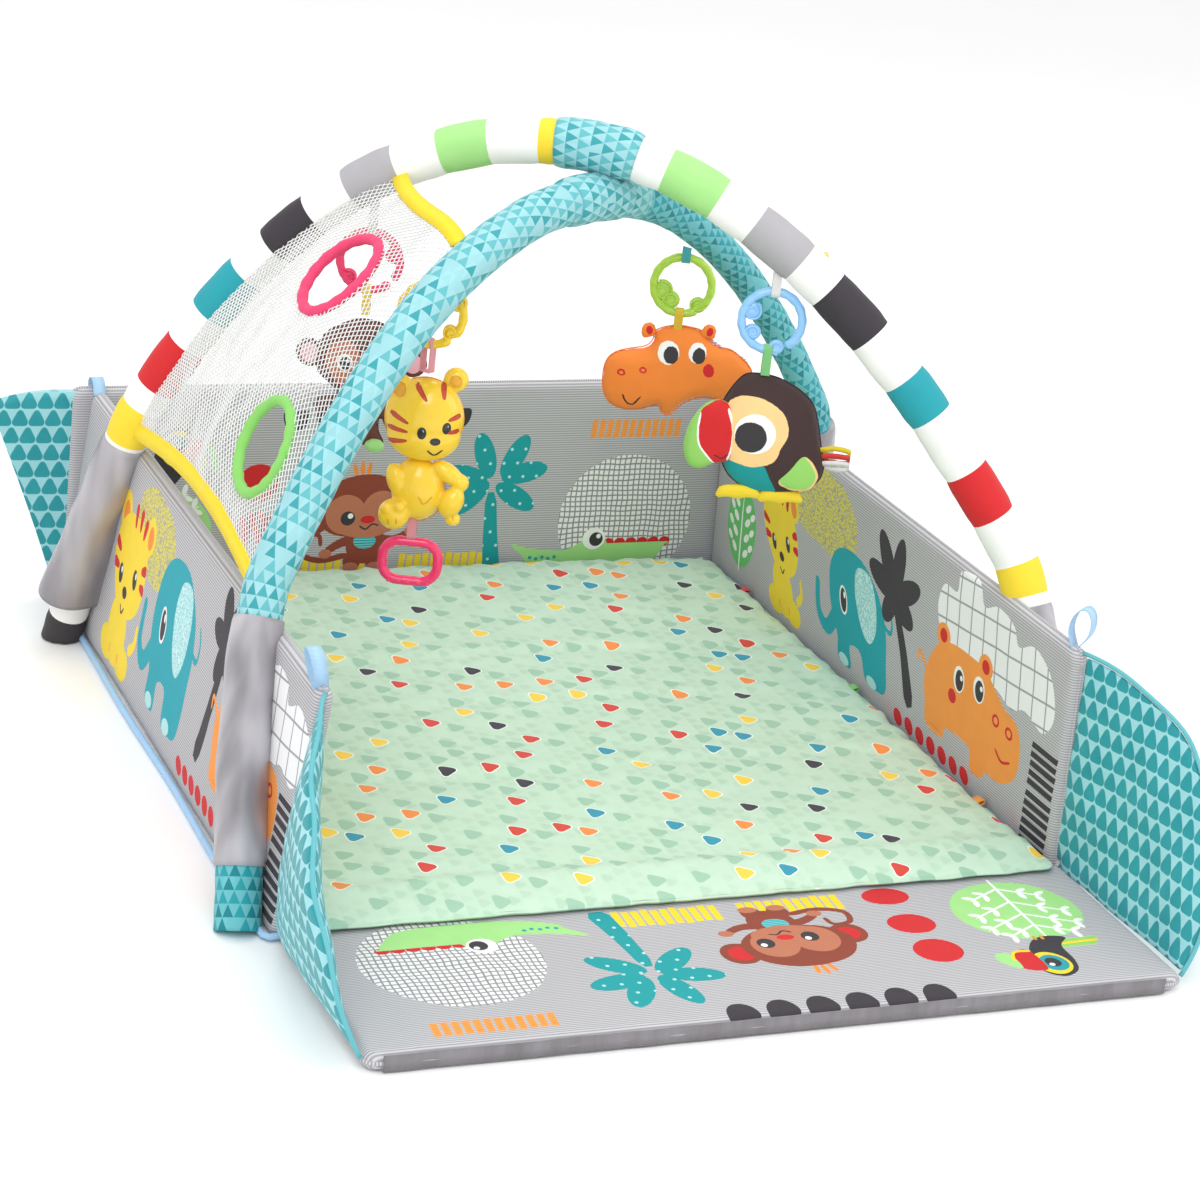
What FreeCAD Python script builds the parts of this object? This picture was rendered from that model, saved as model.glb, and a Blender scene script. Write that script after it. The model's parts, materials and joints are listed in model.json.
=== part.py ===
"""Activity play gym: a padded floor mat with four foam walls, two crossed padded
arches, a ball net and four hanging toys.

Frame: origin on the floor at the middle of the base, +X to the right, +Y to the
back, +Z up. Millimetres. The front wall is stored folded flat on the floor and
the back wall upright.
"""
import FreeCAD
import Part
import Sketcher
import math
import os

from FreeCAD import Placement, Rotation, Vector

DIMENSIONS = {
    # floor mat
    "base_width": 800, "base_length": 858, "base_thick": 14, "base_corner": 14,
    "quilt_width": 776, "quilt_length": 838, "quilt_thick": 22, "quilt_round": 9,
    "ribbon_width": 14, "ribbon_thick": 1.5, "ribbon_reach": 9,
    # walls
    "wall_height": 248, "wall_thick": 18, "cover_thick": 1,
    "board_gap": 0.3, "side_length": 862, "end_width": 832, "front_width": 820,
    "front_depth": 246, "left_lean": 6, "right_lean": 2.5,
    # soft corner gussets
    "gusset_reach": 234, "gusset_thick": 24, "fin_reach": 88, "fin_thick": 10,
    # arches
    "pole_diameter": 10, "ferrule_diameter": 13, "ferrule_length": 36,
    "padding_diameter": 47, "padding_bore": 18, "cuff_diameter": 45,
    "cuff_height": 70, "sleeve_diameter": 38, "sleeve_bore": 24,
    "wrap_diameter": 53, "wrap_length": 96,
    "arch_b_top": 650, "arch_a_top": 602, "wall_top": 250,
    # net
    "net_thick": 2, "ball_hole": 92, "rim_tube": 7, "binding_tube": 6,
    # links, straps and toys
    "link_radius": 31, "link_tube": 8, "link_thick": 8, "strap_width": 9,
    "strap_thick": 1.2, "strap_gap": 1,
    "tiger_width": 80, "monkey_width": 104, "hippo_width": 158,
    "toucan_width": 137, "teether_width": 60, "teether_height": 52,
    "teether_tube": 10, "shell_thick": 2, "loop_radius": 15, "loop_width": 10,
}

doc = FreeCAD.newDocument("ActivityPlayGym")
sheet = doc.addObject("Spreadsheet::Sheet", "Dimensions")
for row, (alias, value) in enumerate(DIMENSIONS.items(), start=1):
    sheet.set(f"A{row}", alias)
    sheet.set(f"B{row}", str(value))
    sheet.setAlias(f"B{row}", alias)
doc.recompute()

UP = Vector(0, 0, 1)
ALONG_X = Vector(1, 0, 0)
ALONG_Y = Vector(0, 1, 0)
GAP = 0.3
nodes = []


def size(alias):
    """The value that a cell of the sheet holds."""
    return float(sheet.get(alias))


def cell(alias):
    """The cell's name as an expression."""
    return "Dimensions." + alias


def turned(position, axis=UP, angle=0):
    return Placement(Vector(*position), Rotation(axis, angle))


def primitive(kind, label, placement, **sizes):
    """A Part primitive whose sizes are expressions of the sheet."""
    item = doc.addObject("Part::" + kind, label)
    item.Label = label
    for name, expression in sizes.items():
        if name.startswith("Angle"):
            setattr(item, name, expression)
        else:
            item.setExpression(name, expression)
    item.Placement = placement
    return item


def combined(kind, label, items, placement=None):
    """A boolean or a group of separate solids made of other objects."""
    item = doc.addObject("Part::" + kind, label)
    item.Label = label
    if kind == "Cut":
        item.Base, item.Tool = items
    elif kind == "Compound":
        item.Links = items
    else:
        item.Shapes = items
    item.Placement = placement or Placement()
    return item


def feature(label, shape, placement=None):
    """A sub-part whose form no parametric feature makes."""
    item = doc.addObject("Part::Feature", label)
    item.Label = label
    item.Shape = shape
    item.Placement = placement or Placement()
    return item


def node(item):
    nodes.append(item)
    return item


def origin_plane(body, role):
    for item in body.Origin.OriginFeatures:
        if item.Role == role:
            return item
    raise ValueError(role)


def padded_body(label, role, draw, length, placement=None, midplane=True):
    """A PartDesign body: one sketch on an origin plane, padded."""
    body = doc.addObject("PartDesign::Body", label)
    body.Label = label
    sketch = body.newObject("Sketcher::SketchObject", label + "_sketch")
    sketch.AttachmentSupport = [(origin_plane(body, role), "")]
    sketch.MapMode = "FlatFace"
    draw(sketch)
    doc.recompute()
    pad = body.newObject("PartDesign::Pad", label + "_pad")
    pad.Profile = sketch
    pad.setExpression("Length", length)
    pad.Midplane = midplane
    body.Placement = placement or Placement()
    doc.recompute()
    return body, pad


def rounded(body, pad, edges, radius):
    """Fillets on the chosen edges of the body's pad."""
    fillet = body.newObject("PartDesign::Fillet", body.Label + "_fillet")
    fillet.Base = (pad, edges)
    fillet.setExpression("Radius", radius)
    doc.recompute()
    return fillet


def polygon(points):
    """A function that draws a closed polygon in a sketch."""
    def draw(sketch):
        corners = [Vector(x, y, 0) for x, y in points]
        for first, second in zip(corners, corners[1:] + corners[:1]):
            sketch.addGeometry(Part.LineSegment(first, second), False)
    return draw


def rectangle(width, height):
    """A function that draws a centred rectangle tied to two cells."""
    def draw(sketch):
        w, h = size(width) / 2, size(height) / 2
        polygon([(-w, -h), (w, -h), (w, h), (-w, h)])(sketch)
        for line in range(4):
            sketch.addConstraint(
                Sketcher.Constraint("Coincident", line, 2, (line + 1) % 4, 1))
        for line, kind in enumerate(("Horizontal", "Vertical") * 2):
            sketch.addConstraint(Sketcher.Constraint(kind, line))
        sketch.addConstraint(Sketcher.Constraint("Symmetric", 0, 1, 1, 2, -1, 1))
        for line, alias in ((0, width), (1, height)):
            kind = "DistanceX" if line == 0 else "DistanceY"
            number = sketch.addConstraint(
                Sketcher.Constraint(kind, line, 1, line, 2, size(alias)))
            sketch.setExpression(f"Constraints[{number}]", cell(alias))
    return draw


# ---------------------------------------------------------------- routes

def rounded_route(points):
    """Straight runs joined by tangent arcs, through a list of corners."""
    edges = []
    start = points[0]
    for before, corner, after in zip(points, points[1:], points[2:]):
        back = (before - corner)
        ahead = (after - corner)
        cut = 0.45 * min(back.Length, ahead.Length)
        back.normalize()
        ahead.normalize()
        inward = (back + ahead).normalize()
        half = back.getAngle(ahead) / 2
        centre = corner + inward * (cut / math.cos(half))
        enter, leave = corner + back * cut, corner + ahead * cut
        middle = centre - inward * (cut * math.tan(half))
        edges.append(Part.LineSegment(start, enter).toShape())
        edges.append(Part.Arc(enter, middle, leave).toShape())
        start = leave
    edges.append(Part.LineSegment(start, points[-1]).toShape())
    return Part.Wire(edges)


def swept(route, diameter):
    """A round bar along a route, checked against its section and length."""
    first = route.OrderedEdges[0]
    way = first.tangentAt(first.FirstParameter)
    ring = Part.makeCircle(diameter / 2, first.valueAt(first.FirstParameter), way)
    solid = route.makePipeShell([Part.Wire(ring)], True, False)
    expected = math.pi * diameter ** 2 / 4 * route.Length
    if abs(solid.Volume - expected) > 0.02 * expected:
        raise ValueError("a sweep has the wrong volume")
    return solid


def swept_tube(route, outer, inner):
    """A hollow round tube along a route, open at both ends."""
    return swept(route, outer).cut(swept(longer(route), inner))


def longer(route):
    """The same route with its two ends run on by a millimetre."""
    edges = route.OrderedEdges
    first, last = edges[0], edges[-1]
    start, end = first.valueAt(first.FirstParameter), last.valueAt(last.LastParameter)
    before = start - first.tangentAt(first.FirstParameter)
    after = end + last.tangentAt(last.LastParameter)
    return Part.Wire([Part.LineSegment(before, start).toShape(), *edges,
                      Part.LineSegment(end, after).toShape()])


# ---------------------------------------------------------------- floor mat

BASE_TOP = size("base_thick")
QUILT_LOW = BASE_TOP + GAP


def make_base():
    body, pad = padded_body("base_board", "XY_Plane",
                            rectangle("base_width", "base_length"),
                            cell("base_thick"), midplane=False)
    upright = [f"Edge{i}" for i, edge in enumerate(pad.Shape.Edges, 1)
               if abs(edge.tangentAt(edge.FirstParameter).z) > 0.9]
    rounded(body, pad, upright, cell("base_corner"))
    return body


def make_quilt():
    body, pad = padded_body("quilt_mat", "XY_Plane",
                            rectangle("quilt_width", "quilt_length"),
                            cell("quilt_thick"), turned((0, 3, QUILT_LOW)), False)
    rounded(body, pad, [f"Edge{i}" for i in range(1, 13)], cell("quilt_round"))
    return body


def make_mat_ribbons():
    """Short folded ribbon tabs that stand out of the mat's side seams."""
    side = size("quilt_width") / 2 + GAP
    height = QUILT_LOW + size("quilt_thick") / 2
    tabs = []
    for number, along in enumerate((-300, -150, 0, 150, 300)):
        for way in (-1, 1):
            x = side if way > 0 else -side - size("ribbon_reach")
            tabs.append(primitive(
                "Box", f"ribbon_{number}_{'right' if way > 0 else 'left'}",
                turned((x, along - size("ribbon_width") / 2, height)),
                Length=cell("ribbon_reach"), Width=cell("ribbon_width"),
                Height=cell("ribbon_thick")))
    return combined("Compound", "mat_ribbon_tabs", tabs)


# ---------------------------------------------------------------- walls

def make_wall(label, length, height, placement):
    """A foam board in a fabric cover that is open along its lower edge.

    Local frame: length along X, thickness along Y from 0, height along Z.
    """
    rim, gap = cell("cover_thick"), cell("board_gap")
    skin, room = size("cover_thick"), size("board_gap")
    slack = skin + room
    outer = primitive("Box", label + "_outer", Placement(), Length=cell(length),
                      Width=cell("wall_thick"), Height=cell(height))
    inner = primitive("Box", label + "_inner", turned((skin, skin, -skin)),
                      Length=f"{cell(length)} - 2 * {rim}",
                      Width=f"{cell('wall_thick')} - 2 * {rim}",
                      Height=cell(height))
    node(combined("Cut", label + "_cover", (outer, inner), placement))
    board = primitive("Box", label + "_board",
                      placement * turned((slack, slack, room)),
                      Length=f"{cell(length)} - 2 * ({rim} + {gap})",
                      Width=f"{cell('wall_thick')} - 2 * ({rim} + {gap})",
                      Height=f"{cell(height)} - {rim} - 2 * {gap}")
    node(board)


SIDE_X = size("base_width") / 2 + 2
END_Y = size("side_length") / 2
FLOOR_GAP = 1


def wall_frames():
    """Where each wall's lower left corner is, and which way it faces."""
    width, length = size("end_width"), size("side_length")
    quarter = Rotation(UP, 90)
    left = Placement(Vector(-SIDE_X, -length / 2, FLOOR_GAP),
                     Rotation(ALONG_Y, size("left_lean")) * quarter)
    right = Placement(Vector(SIDE_X, length / 2, FLOOR_GAP),
                      Rotation(ALONG_Y, -size("right_lean")) * quarter.inverted())
    back = turned((-width / 2, END_Y + 2, FLOOR_GAP))
    front = turned((-size("front_width") / 2, -END_Y - 2, FLOOR_GAP), ALONG_X, 90)
    return {"left_wall": (left, "side_length", "wall_height"),
            "right_wall": (right, "side_length", "wall_height"),
            "back_panel": (back, "end_width", "wall_height"),
            "front_panel": (front, "front_width", "front_depth")}


def make_front_gusset(label, side):
    """A soft quarter-round fan between a side wall and the open front panel."""
    beside = side * (size("front_width") / 2 + 1)
    if side > 0:
        beside += size("gusset_thick")
    upright = Rotation(Vector(0, -1, 0), UP, Vector(-1, 0, 0), "XYZ")
    return primitive("Cylinder", label, Placement(Vector(beside, -END_Y - 8, 12), upright),
                     Angle=90, Radius=cell("gusset_reach"), Height=cell("gusset_thick"))


def make_back_gusset(label, side):
    """The same soft corner folded double behind an upright back panel."""
    reach, low, high = size("fin_reach"), 12, size("wall_height") - 2
    inner = size("end_width") / 2 + 4
    outline = [(side * inner, low), (side * inner, high),
               (side * (inner + reach), high), (side * (inner + 12), low)]
    body, _ = padded_body(label, "XZ_Plane", polygon(outline), cell("fin_thick"),
                          turned((0, END_Y + 10, 0)))
    return body


def make_corner_loops():
    """Ribbon carrying loops on the walls' top corners."""
    top = size("wall_height") + FLOOR_GAP
    lean = size("wall_height") * math.sin(math.radians(size("left_lean")))
    middle = SIDE_X + size("wall_thick") / 2
    reach = END_Y - 22
    loops = []
    for across, along in ((-middle + lean, -reach), (-middle + lean, reach),
                          (middle - 4, -reach), (middle - 4, reach)):
        name = f"loop_{len(loops)}"
        ring = primitive("Cylinder", name + "_out", Placement(), Angle=180.0,
                         Radius=cell("loop_radius"), Height=cell("loop_width"))
        hole = primitive("Cylinder", name + "_in", turned((0, 0, -1)),
                         Radius=f"{cell('loop_radius')} - {cell('strap_thick')}",
                         Height=f"{cell('loop_width')} + 2")
        upright = Placement(Vector(across - size("loop_width") / 2, along, top + 1),
                            Rotation(Vector(0, 1, 0), UP, Vector(1, 0, 0), "XYZ"))
        loops.append(combined("Cut", name, (ring, hole), upright))
    return combined("Compound", "corner_loops", loops)


# ---------------------------------------------------------------- arches

LEFT_FOOT_X, RIGHT_FOOT_X = -444, 446
LEFT_TOP_X, RIGHT_TOP_X = -415, 431
FRONT_FOOT_Y, BACK_FOOT_Y = -404, 312
FRONT_TOP_Y, BACK_TOP_Y = -272, 236
FEET = {"front_left": (Vector(LEFT_FOOT_X, FRONT_FOOT_Y, 0),
                       Vector(LEFT_TOP_X, FRONT_TOP_Y, size("wall_top"))),
        "back_left": (Vector(LEFT_FOOT_X, BACK_FOOT_Y, 0),
                      Vector(LEFT_TOP_X, BACK_TOP_Y, size("wall_top"))),
        "front_right": (Vector(RIGHT_FOOT_X, FRONT_FOOT_Y, 0),
                        Vector(RIGHT_TOP_X, FRONT_TOP_Y, size("wall_top"))),
        "back_right": (Vector(RIGHT_FOOT_X, BACK_FOOT_Y, 0),
                       Vector(RIGHT_TOP_X, BACK_TOP_Y, size("wall_top")))}
ARCHES = {"arch_a": ("front_left", "back_right", "arch_a_top"),
          "arch_b": ("back_left", "front_right", "arch_b_top")}
CROWN_X = -10
CROWN_POWER = {-1: 2.45, 1: 1.9}
CROWN_STATIONS = (0.88, 0.72, 0.5, 0.26, 0.08)
PADDING_START = 20
POLE_LIFT = 6


def crown_point(arch, x):
    """The point of an arch's centreline above the walls that has this x."""
    start, end, top = ARCHES[arch]
    first, last = FEET[start][1], FEET[end][1]
    side = 1 if x > CROWN_X else -1
    reach = (last.x if side > 0 else first.x) - CROWN_X
    fall = abs((x - CROWN_X) / reach) ** CROWN_POWER[side]
    height = size(top) - (size(top) - size("wall_top")) * fall
    along = (x - first.x) / (last.x - first.x)
    return Vector(x, first.y + along * (last.y - first.y), height)


def station_x(arch, station):
    """The x of a station that runs from -1 at the left wall to 1 at the right."""
    start, end, _ = ARCHES[arch]
    reach = FEET[end if station > 0 else start][1].x - CROWN_X
    return CROWN_X + abs(station) * reach


def arch_corners(arch):
    """The corners of one arch's route, from foot to foot."""
    start, end, _ = ARCHES[arch]
    stations = [-s for s in CROWN_STATIONS] + list(reversed(CROWN_STATIONS))
    crown = [crown_point(arch, station_x(arch, s)) for s in stations]
    return [FEET[start][0], FEET[start][1], *crown, FEET[end][1], FEET[end][0]]


def padding_route(arch):
    """The padded cover's route, from just above one wall to the other."""
    corners = arch_corners(arch)
    low = corners[1] + (corners[2] - corners[1]).normalize() * PADDING_START
    high = corners[-2] + (corners[-3] - corners[-2]).normalize() * PADDING_START
    return rounded_route([low, *corners[2:-2], high])


def padding_space(arch):
    """The room that the padded cover takes, with a small gap round it."""
    return swept(padding_route(arch), size("padding_diameter") + 2 * GAP)


def make_arch(arch):
    """Plug-together pole halves, their ferrule and the padded cover."""
    corners = arch_corners(arch)
    half = len(corners) // 2
    crown = (corners[half - 1] + corners[half]) / 2
    first, last = corners[1] - corners[0], corners[-2] - corners[-1]
    left = rounded_route([corners[0] + first * (POLE_LIFT / first.z), *corners[1:half],
                          crown + (corners[half - 1] - crown).normalize() * GAP])
    right = rounded_route([crown + (corners[half] - crown).normalize() * GAP,
                           *corners[half:-1], corners[-1] + last * (POLE_LIFT / last.z)])
    pole = size("pole_diameter")
    node(feature(arch + "_left_pole", swept(left, pole)))
    node(feature(arch + "_right_pole", swept(right, pole)))
    way = (corners[half] - corners[half - 1]).normalize()
    reach = size("ferrule_length") / 2
    span = Part.Wire(Part.LineSegment(crown - way * reach, crown + way * reach).toShape())
    node(feature(arch + "_ferrule",
                 swept_tube(span, size("ferrule_diameter"), pole + 0.1)))
    node(feature(arch + "_padding", swept_tube(padding_route(arch),
                                               size("padding_diameter"),
                                               size("padding_bore"))))


def make_leg_sleeve(place):
    """The satin pocket on the wall's outer face that holds one arch leg."""
    foot, top = FEET[place]
    way = (top - foot).normalize()
    low = foot + way * (size("cuff_height") / way.z + 2)
    high = top + way * 2
    span = Part.Wire(Part.LineSegment(low, high).toShape())
    return feature("leg_sleeve_" + place,
                   swept_tube(span, size("sleeve_diameter"), size("sleeve_bore")))


def make_foot_cuff(place):
    """The padded end of an arch, cut level where it stands on the floor."""
    foot, top = FEET[place]
    way = (top - foot).normalize()
    diameter, height = size("cuff_diameter"), size("cuff_height")
    below = Part.LineSegment(foot - way * 30, foot + way * (height / way.z))
    cuff = swept(Part.Wire(below.toShape()), diameter)
    room = Part.makeBox(200, 200, 200, foot - Vector(100, 100, 0))
    bore = Part.LineSegment(foot + way * (POLE_LIFT - 1), foot + way * (height / way.z + 20))
    hollow = swept(Part.Wire(bore.toShape()), size("pole_diameter") + 2)
    return feature("foot_cuff_" + place, cuff.common(room).cut(hollow))


def make_wrap():
    """The band of fabric that ties the two arches together where they cross."""
    bars = []
    for arch in ARCHES:
        corners = arch_corners(arch)
        half = len(corners) // 2
        crown = (corners[half - 1] + corners[half]) / 2
        way = (corners[half] - corners[half - 1]).normalize()
        reach = way * (size("wrap_length") / 2)
        route = Part.Wire(Part.LineSegment(crown - reach, crown + reach).toShape())
        bars.append(swept(route, size("wrap_diameter")))
    shape = bars[0].fuse(bars[1])
    for arch in ARCHES:
        shape = shape.cut(padding_space(arch))
    return feature("crossover_wrap", shape)


# ---------------------------------------------------------------- net

NET_LOW, NET_MIDDLE, NET_HIGH = (-402, 268), (-322, 458), (-172, 596)


def net_arc(offset):
    """The net's round profile, moved outward by an offset."""
    low, middle, high = (Vector(x, 0, z) for x, z in (NET_LOW, NET_MIDDLE, NET_HIGH))
    arc = Part.Arc(low, middle, high)
    centre = arc.toShape().Curve.Center
    moved = [point + (point - centre).normalize() * offset
             for point in (low, middle, high)]
    return Part.Arc(*moved), centre


def net_edges(inset):
    """Plan corners of the net between the two arches, inset from both."""
    corners = []
    for x in (NET_LOW[0] - 30, NET_HIGH[0] + 30):
        for arch, way in (("arch_a", 1), ("arch_b", -1)):
            point, ahead = crown_point(arch, x), crown_point(arch, x + 1)
            slant = math.hypot(1, ahead.y - point.y)
            corners.append(Vector(x, point.y + way * inset * slant, 0))
    return [corners[0], corners[1], corners[3], corners[2]]


def net_band(low, high, inset):
    """A slice of the curved net between two offsets from its profile."""
    inner, _ = net_arc(low)
    outer, _ = net_arc(high)
    ends = [Part.LineSegment(inner.StartPoint, outer.StartPoint),
            Part.LineSegment(inner.EndPoint, outer.EndPoint)]
    wire = Part.Wire(Part.__sortEdges__(
        [inner.toShape(), outer.toShape(), *(line.toShape() for line in ends)]))
    band = Part.Face(wire).extrude(Vector(0, 900, 0))
    band.translate(Vector(0, -450, 0))
    plan = net_edges(inset)
    prism = Part.Face(Part.makePolygon(plan + plan[:1])).extrude(Vector(0, 0, 900))
    return band.common(prism)


def net_frame(share, y):
    """A point on the net and its outward direction, by share of its profile."""
    arc, centre = net_arc(0)
    edge = arc.toShape()
    first, last = edge.FirstParameter, edge.LastParameter
    point = edge.valueAt(first + share * (last - first))
    outward = (point - centre).normalize()
    return point + Vector(0, y, 0), outward


BALL_HOLES = {"pink": (0.70, -28), "green": (0.285, -128)}


def make_net():
    thick = size("net_thick")
    inset = size("padding_diameter") / 2 + 3
    net = net_band(-thick / 2, thick / 2, inset)
    rim = size("rim_tube")
    for colour, (share, y) in BALL_HOLES.items():
        point, outward = net_frame(share, y)
        radius = size("ball_hole") / 2
        tool = Part.makeCylinder(radius + rim + GAP, 60, point - outward * 30, outward)
        net = net.cut(tool)
        node(feature(f"ball_hole_rim_{colour}",
                     Part.makeTorus(radius + rim / 2, rim / 2, point, outward)))
    node(feature("mesh_net", net))
    for label, share in (("net_lower_binding", -0.02), ("net_upper_binding", 1.02)):
        point, _ = net_frame(share, 0)
        ends = net_edges(inset)
        low_x, high_x = ends[0].x, ends[2].x
        part = (point.x - low_x) / (high_x - low_x)
        first = ends[0] + (ends[3] - ends[0]) * part
        last = ends[1] + (ends[2] - ends[1]) * part
        first.z = last.z = point.z
        way = (last - first).normalize() * 2
        route = Part.Wire(Part.LineSegment(first + way, last - way).toShape())
        node(feature(label, swept(route, size("binding_tube"))))


# ---------------------------------------------------------------- toys

FACING = -23.2


def under_arch(arch, x, tab):
    """A hanging point straight below an arch's padding, on a tab this long."""
    point, ahead = crown_point(arch, x), crown_point(arch, x + 1)
    slant = (ahead - point).Length / math.hypot(1, ahead.y - point.y)
    return point - UP * (size("padding_diameter") / 2 * slant + tab)


def behind_arch(arch, x, behind, below):
    """A hanging point behind an arch's padding and a little lower."""
    point, ahead = crown_point(arch, x), crown_point(arch, x + 1)
    side = Vector(point.y - ahead.y, 1, 0).normalize()
    return point + side * behind - UP * below


TIGER_BEHIND, TIGER_BELOW = 38, 34
TAB_TUCK = 3
TAB = {"monkey": 38, "hippo": 15, "toucan": 24}
HANGERS = {"tiger": behind_arch("arch_a", -174, TIGER_BEHIND, TIGER_BELOW),
           "monkey": under_arch("arch_b", -193, TAB["monkey"]),
           "hippo": under_arch("arch_a", 148, TAB["hippo"]),
           "toucan": under_arch("arch_b", 168, TAB["toucan"])}
ARCH_A_WAY = math.degrees(math.atan2(crown_point("arch_a", 1).y
                                     - crown_point("arch_a", 0).y, 1))


def ring_frame(toy, point):
    """A toy's link ring faces the front, but the tiger's lies along its arch."""
    return Placement(point, Rotation(UP, ARCH_A_WAY if toy == "tiger" else FACING))


def facing(point):
    return Placement(point, Rotation(UP, FACING))


def link_bottom(toy):
    return HANGERS[toy] - UP * (2 * size("link_radius"))


def strap_loop(label, length, placement, up=False):
    """A flat ribbon loop round a ring's tube at the origin, running up or down."""
    inner = size("link_tube") / 2 + size("strap_gap")
    outer = inner + size("strap_thick")
    way = 1 if up else -1

    def draw(sketch):
        for radius in (outer, inner):
            end = way * (length - (0 if radius == outer else size("strap_thick")))
            flank = Vector(radius, 0, 0), Vector(radius, end, 0)
            other = Vector(-radius, end, 0), Vector(-radius, 0, 0)
            sketch.addGeometry(Part.LineSegment(*flank), False)
            sketch.addGeometry(Part.LineSegment(flank[1], other[0]), False)
            sketch.addGeometry(Part.LineSegment(*other), False)
            sketch.addGeometry(Part.Arc(other[1], Vector(0, -way * radius, 0),
                                        flank[0]), False)
    body, _ = padded_body(label, "YZ_Plane", draw, cell("strap_width"), placement)
    return body


def make_link(toy):
    """An open plastic ring with a leaf disc and a scroll disc by its gap."""
    radius, tube = cell("link_radius"), cell("link_tube")
    reach = size("link_radius")
    centre = Vector(0, 0, -reach)
    on_edge = Rotation(ALONG_X, 90)
    ring = primitive("Torus", f"ring_of_{toy}", Placement(), Angle3=345.0,
                     Radius1=radius, Radius2=f"{tube} / 2")
    ring.Placement = Placement(centre, on_edge * Rotation(UP, -43))
    discs = [ring]
    for name, angle, share in (("leaf", -136, "0.36"), ("scroll", -62, "0.2")):
        offset = Vector(math.cos(math.radians(angle)), 0,
                        math.sin(math.radians(angle))) * reach
        half = Vector(0, size("link_thick") / 2, 0)
        disc = primitive("Cylinder", f"{name}_of_{toy}", Placement(),
                         Radius=f"{radius} * {share}", Height=cell("link_thick"))
        disc.Placement = Placement(centre + offset + half, on_edge)
        discs.append(disc)
    return combined("MultiFuse", "link_ring_" + toy, discs,
                    ring_frame(toy, HANGERS[toy]))


def lens(label, width, across, rise, radius, depth):
    """A round pad with a seam edge: what two equal large spheres share.

    The numbers are shares of the figure's width; depth is half its thickness.
    """
    ball = (radius ** 2 + depth ** 2) / (2 * depth)
    w = size(width)
    shells = []
    for way in (-1, 1):
        shells.append(primitive(
            "Sphere", f"{label}_{'front' if way < 0 else 'back'}_ball",
            turned((across * w, way * (ball - depth) * w, rise * w)),
            Radius=f"{cell(width)} * {ball:.5f}"))
    return combined("MultiCommon", label, shells)


def padded_figure(toy, width, lumps, placement):
    """A figure sewn or moulded from overlapping round pads."""
    pads = [lens(f"{toy}_{name}", width, *numbers) for name, numbers in lumps]
    return combined("MultiFuse", toy, pads, placement)


PLUSH = {
    "hippo": [("snout", (-0.27, -0.53, 0.20, 0.13)),
              ("muzzle", (-0.34, -0.49, 0.16, 0.11)),
              ("head", (-0.05, -0.44, 0.235, 0.14)),
              ("rump", (0.20, -0.43, 0.19, 0.12)),
              ("tail", (0.34, -0.42, 0.15, 0.10)),
              ("left_ear", (-0.20, -0.22, 0.065, 0.05)),
              ("right_ear", (0.14, -0.23, 0.065, 0.05)),
              ("foot", (-0.08, -0.68, 0.065, 0.05))],
    "toucan": [("body", (0.12, -0.64, 0.36, 0.18)),
               ("crown", (0.06, -0.48, 0.29, 0.15)),
               ("beak", (-0.31, -0.60, 0.19, 0.12)),
               ("beak_tip", (-0.40, -0.72, 0.10, 0.08)),
               ("wing", (0.28, -0.80, 0.15, 0.12)),
               ("left_foot", (-0.08, -0.99, 0.09, 0.06)),
               ("middle_foot", (0.05, -0.97, 0.10, 0.06)),
               ("right_foot", (0.18, -0.99, 0.09, 0.06))],
    "monkey": [("head", (0, -0.60, 0.38, 0.20)),
               ("left_ear", (-0.43, -0.57, 0.14, 0.10)),
               ("right_ear", (0.43, -0.57, 0.14, 0.10)),
               ("body", (0, -1.14, 0.31, 0.18)),
               ("left_foot", (-0.18, -1.47, 0.13, 0.10)),
               ("right_foot", (0.18, -1.47, 0.13, 0.10)),
               ("left_arm", (-0.31, -1.10, 0.15, 0.10)),
               ("right_arm", (0.31, -1.10, 0.15, 0.10))],
}
PLUSH_STRAP = {"hippo": 24, "toucan": 26, "monkey": 26}
TIGER_LUMPS = [("head", (0, -0.86, 0.50, 0.31)),
               ("left_ear", (-0.38, -0.44, 0.14, 0.11)),
               ("right_ear", (0.38, -0.44, 0.14, 0.11)),
               ("trunk", (0, -1.72, 0.43, 0.29)),
               ("left_arm", (-0.34, -1.52, 0.18, 0.15)),
               ("right_arm", (0.34, -1.52, 0.18, 0.15)),
               ("left_foot", (-0.34, -1.97, 0.18, 0.16)),
               ("right_foot", (0.34, -1.97, 0.18, 0.16))]
TIGER_STRAP = 28
TIGER_BASE = 2.16
TEETHER_STRAP = 26


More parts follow.
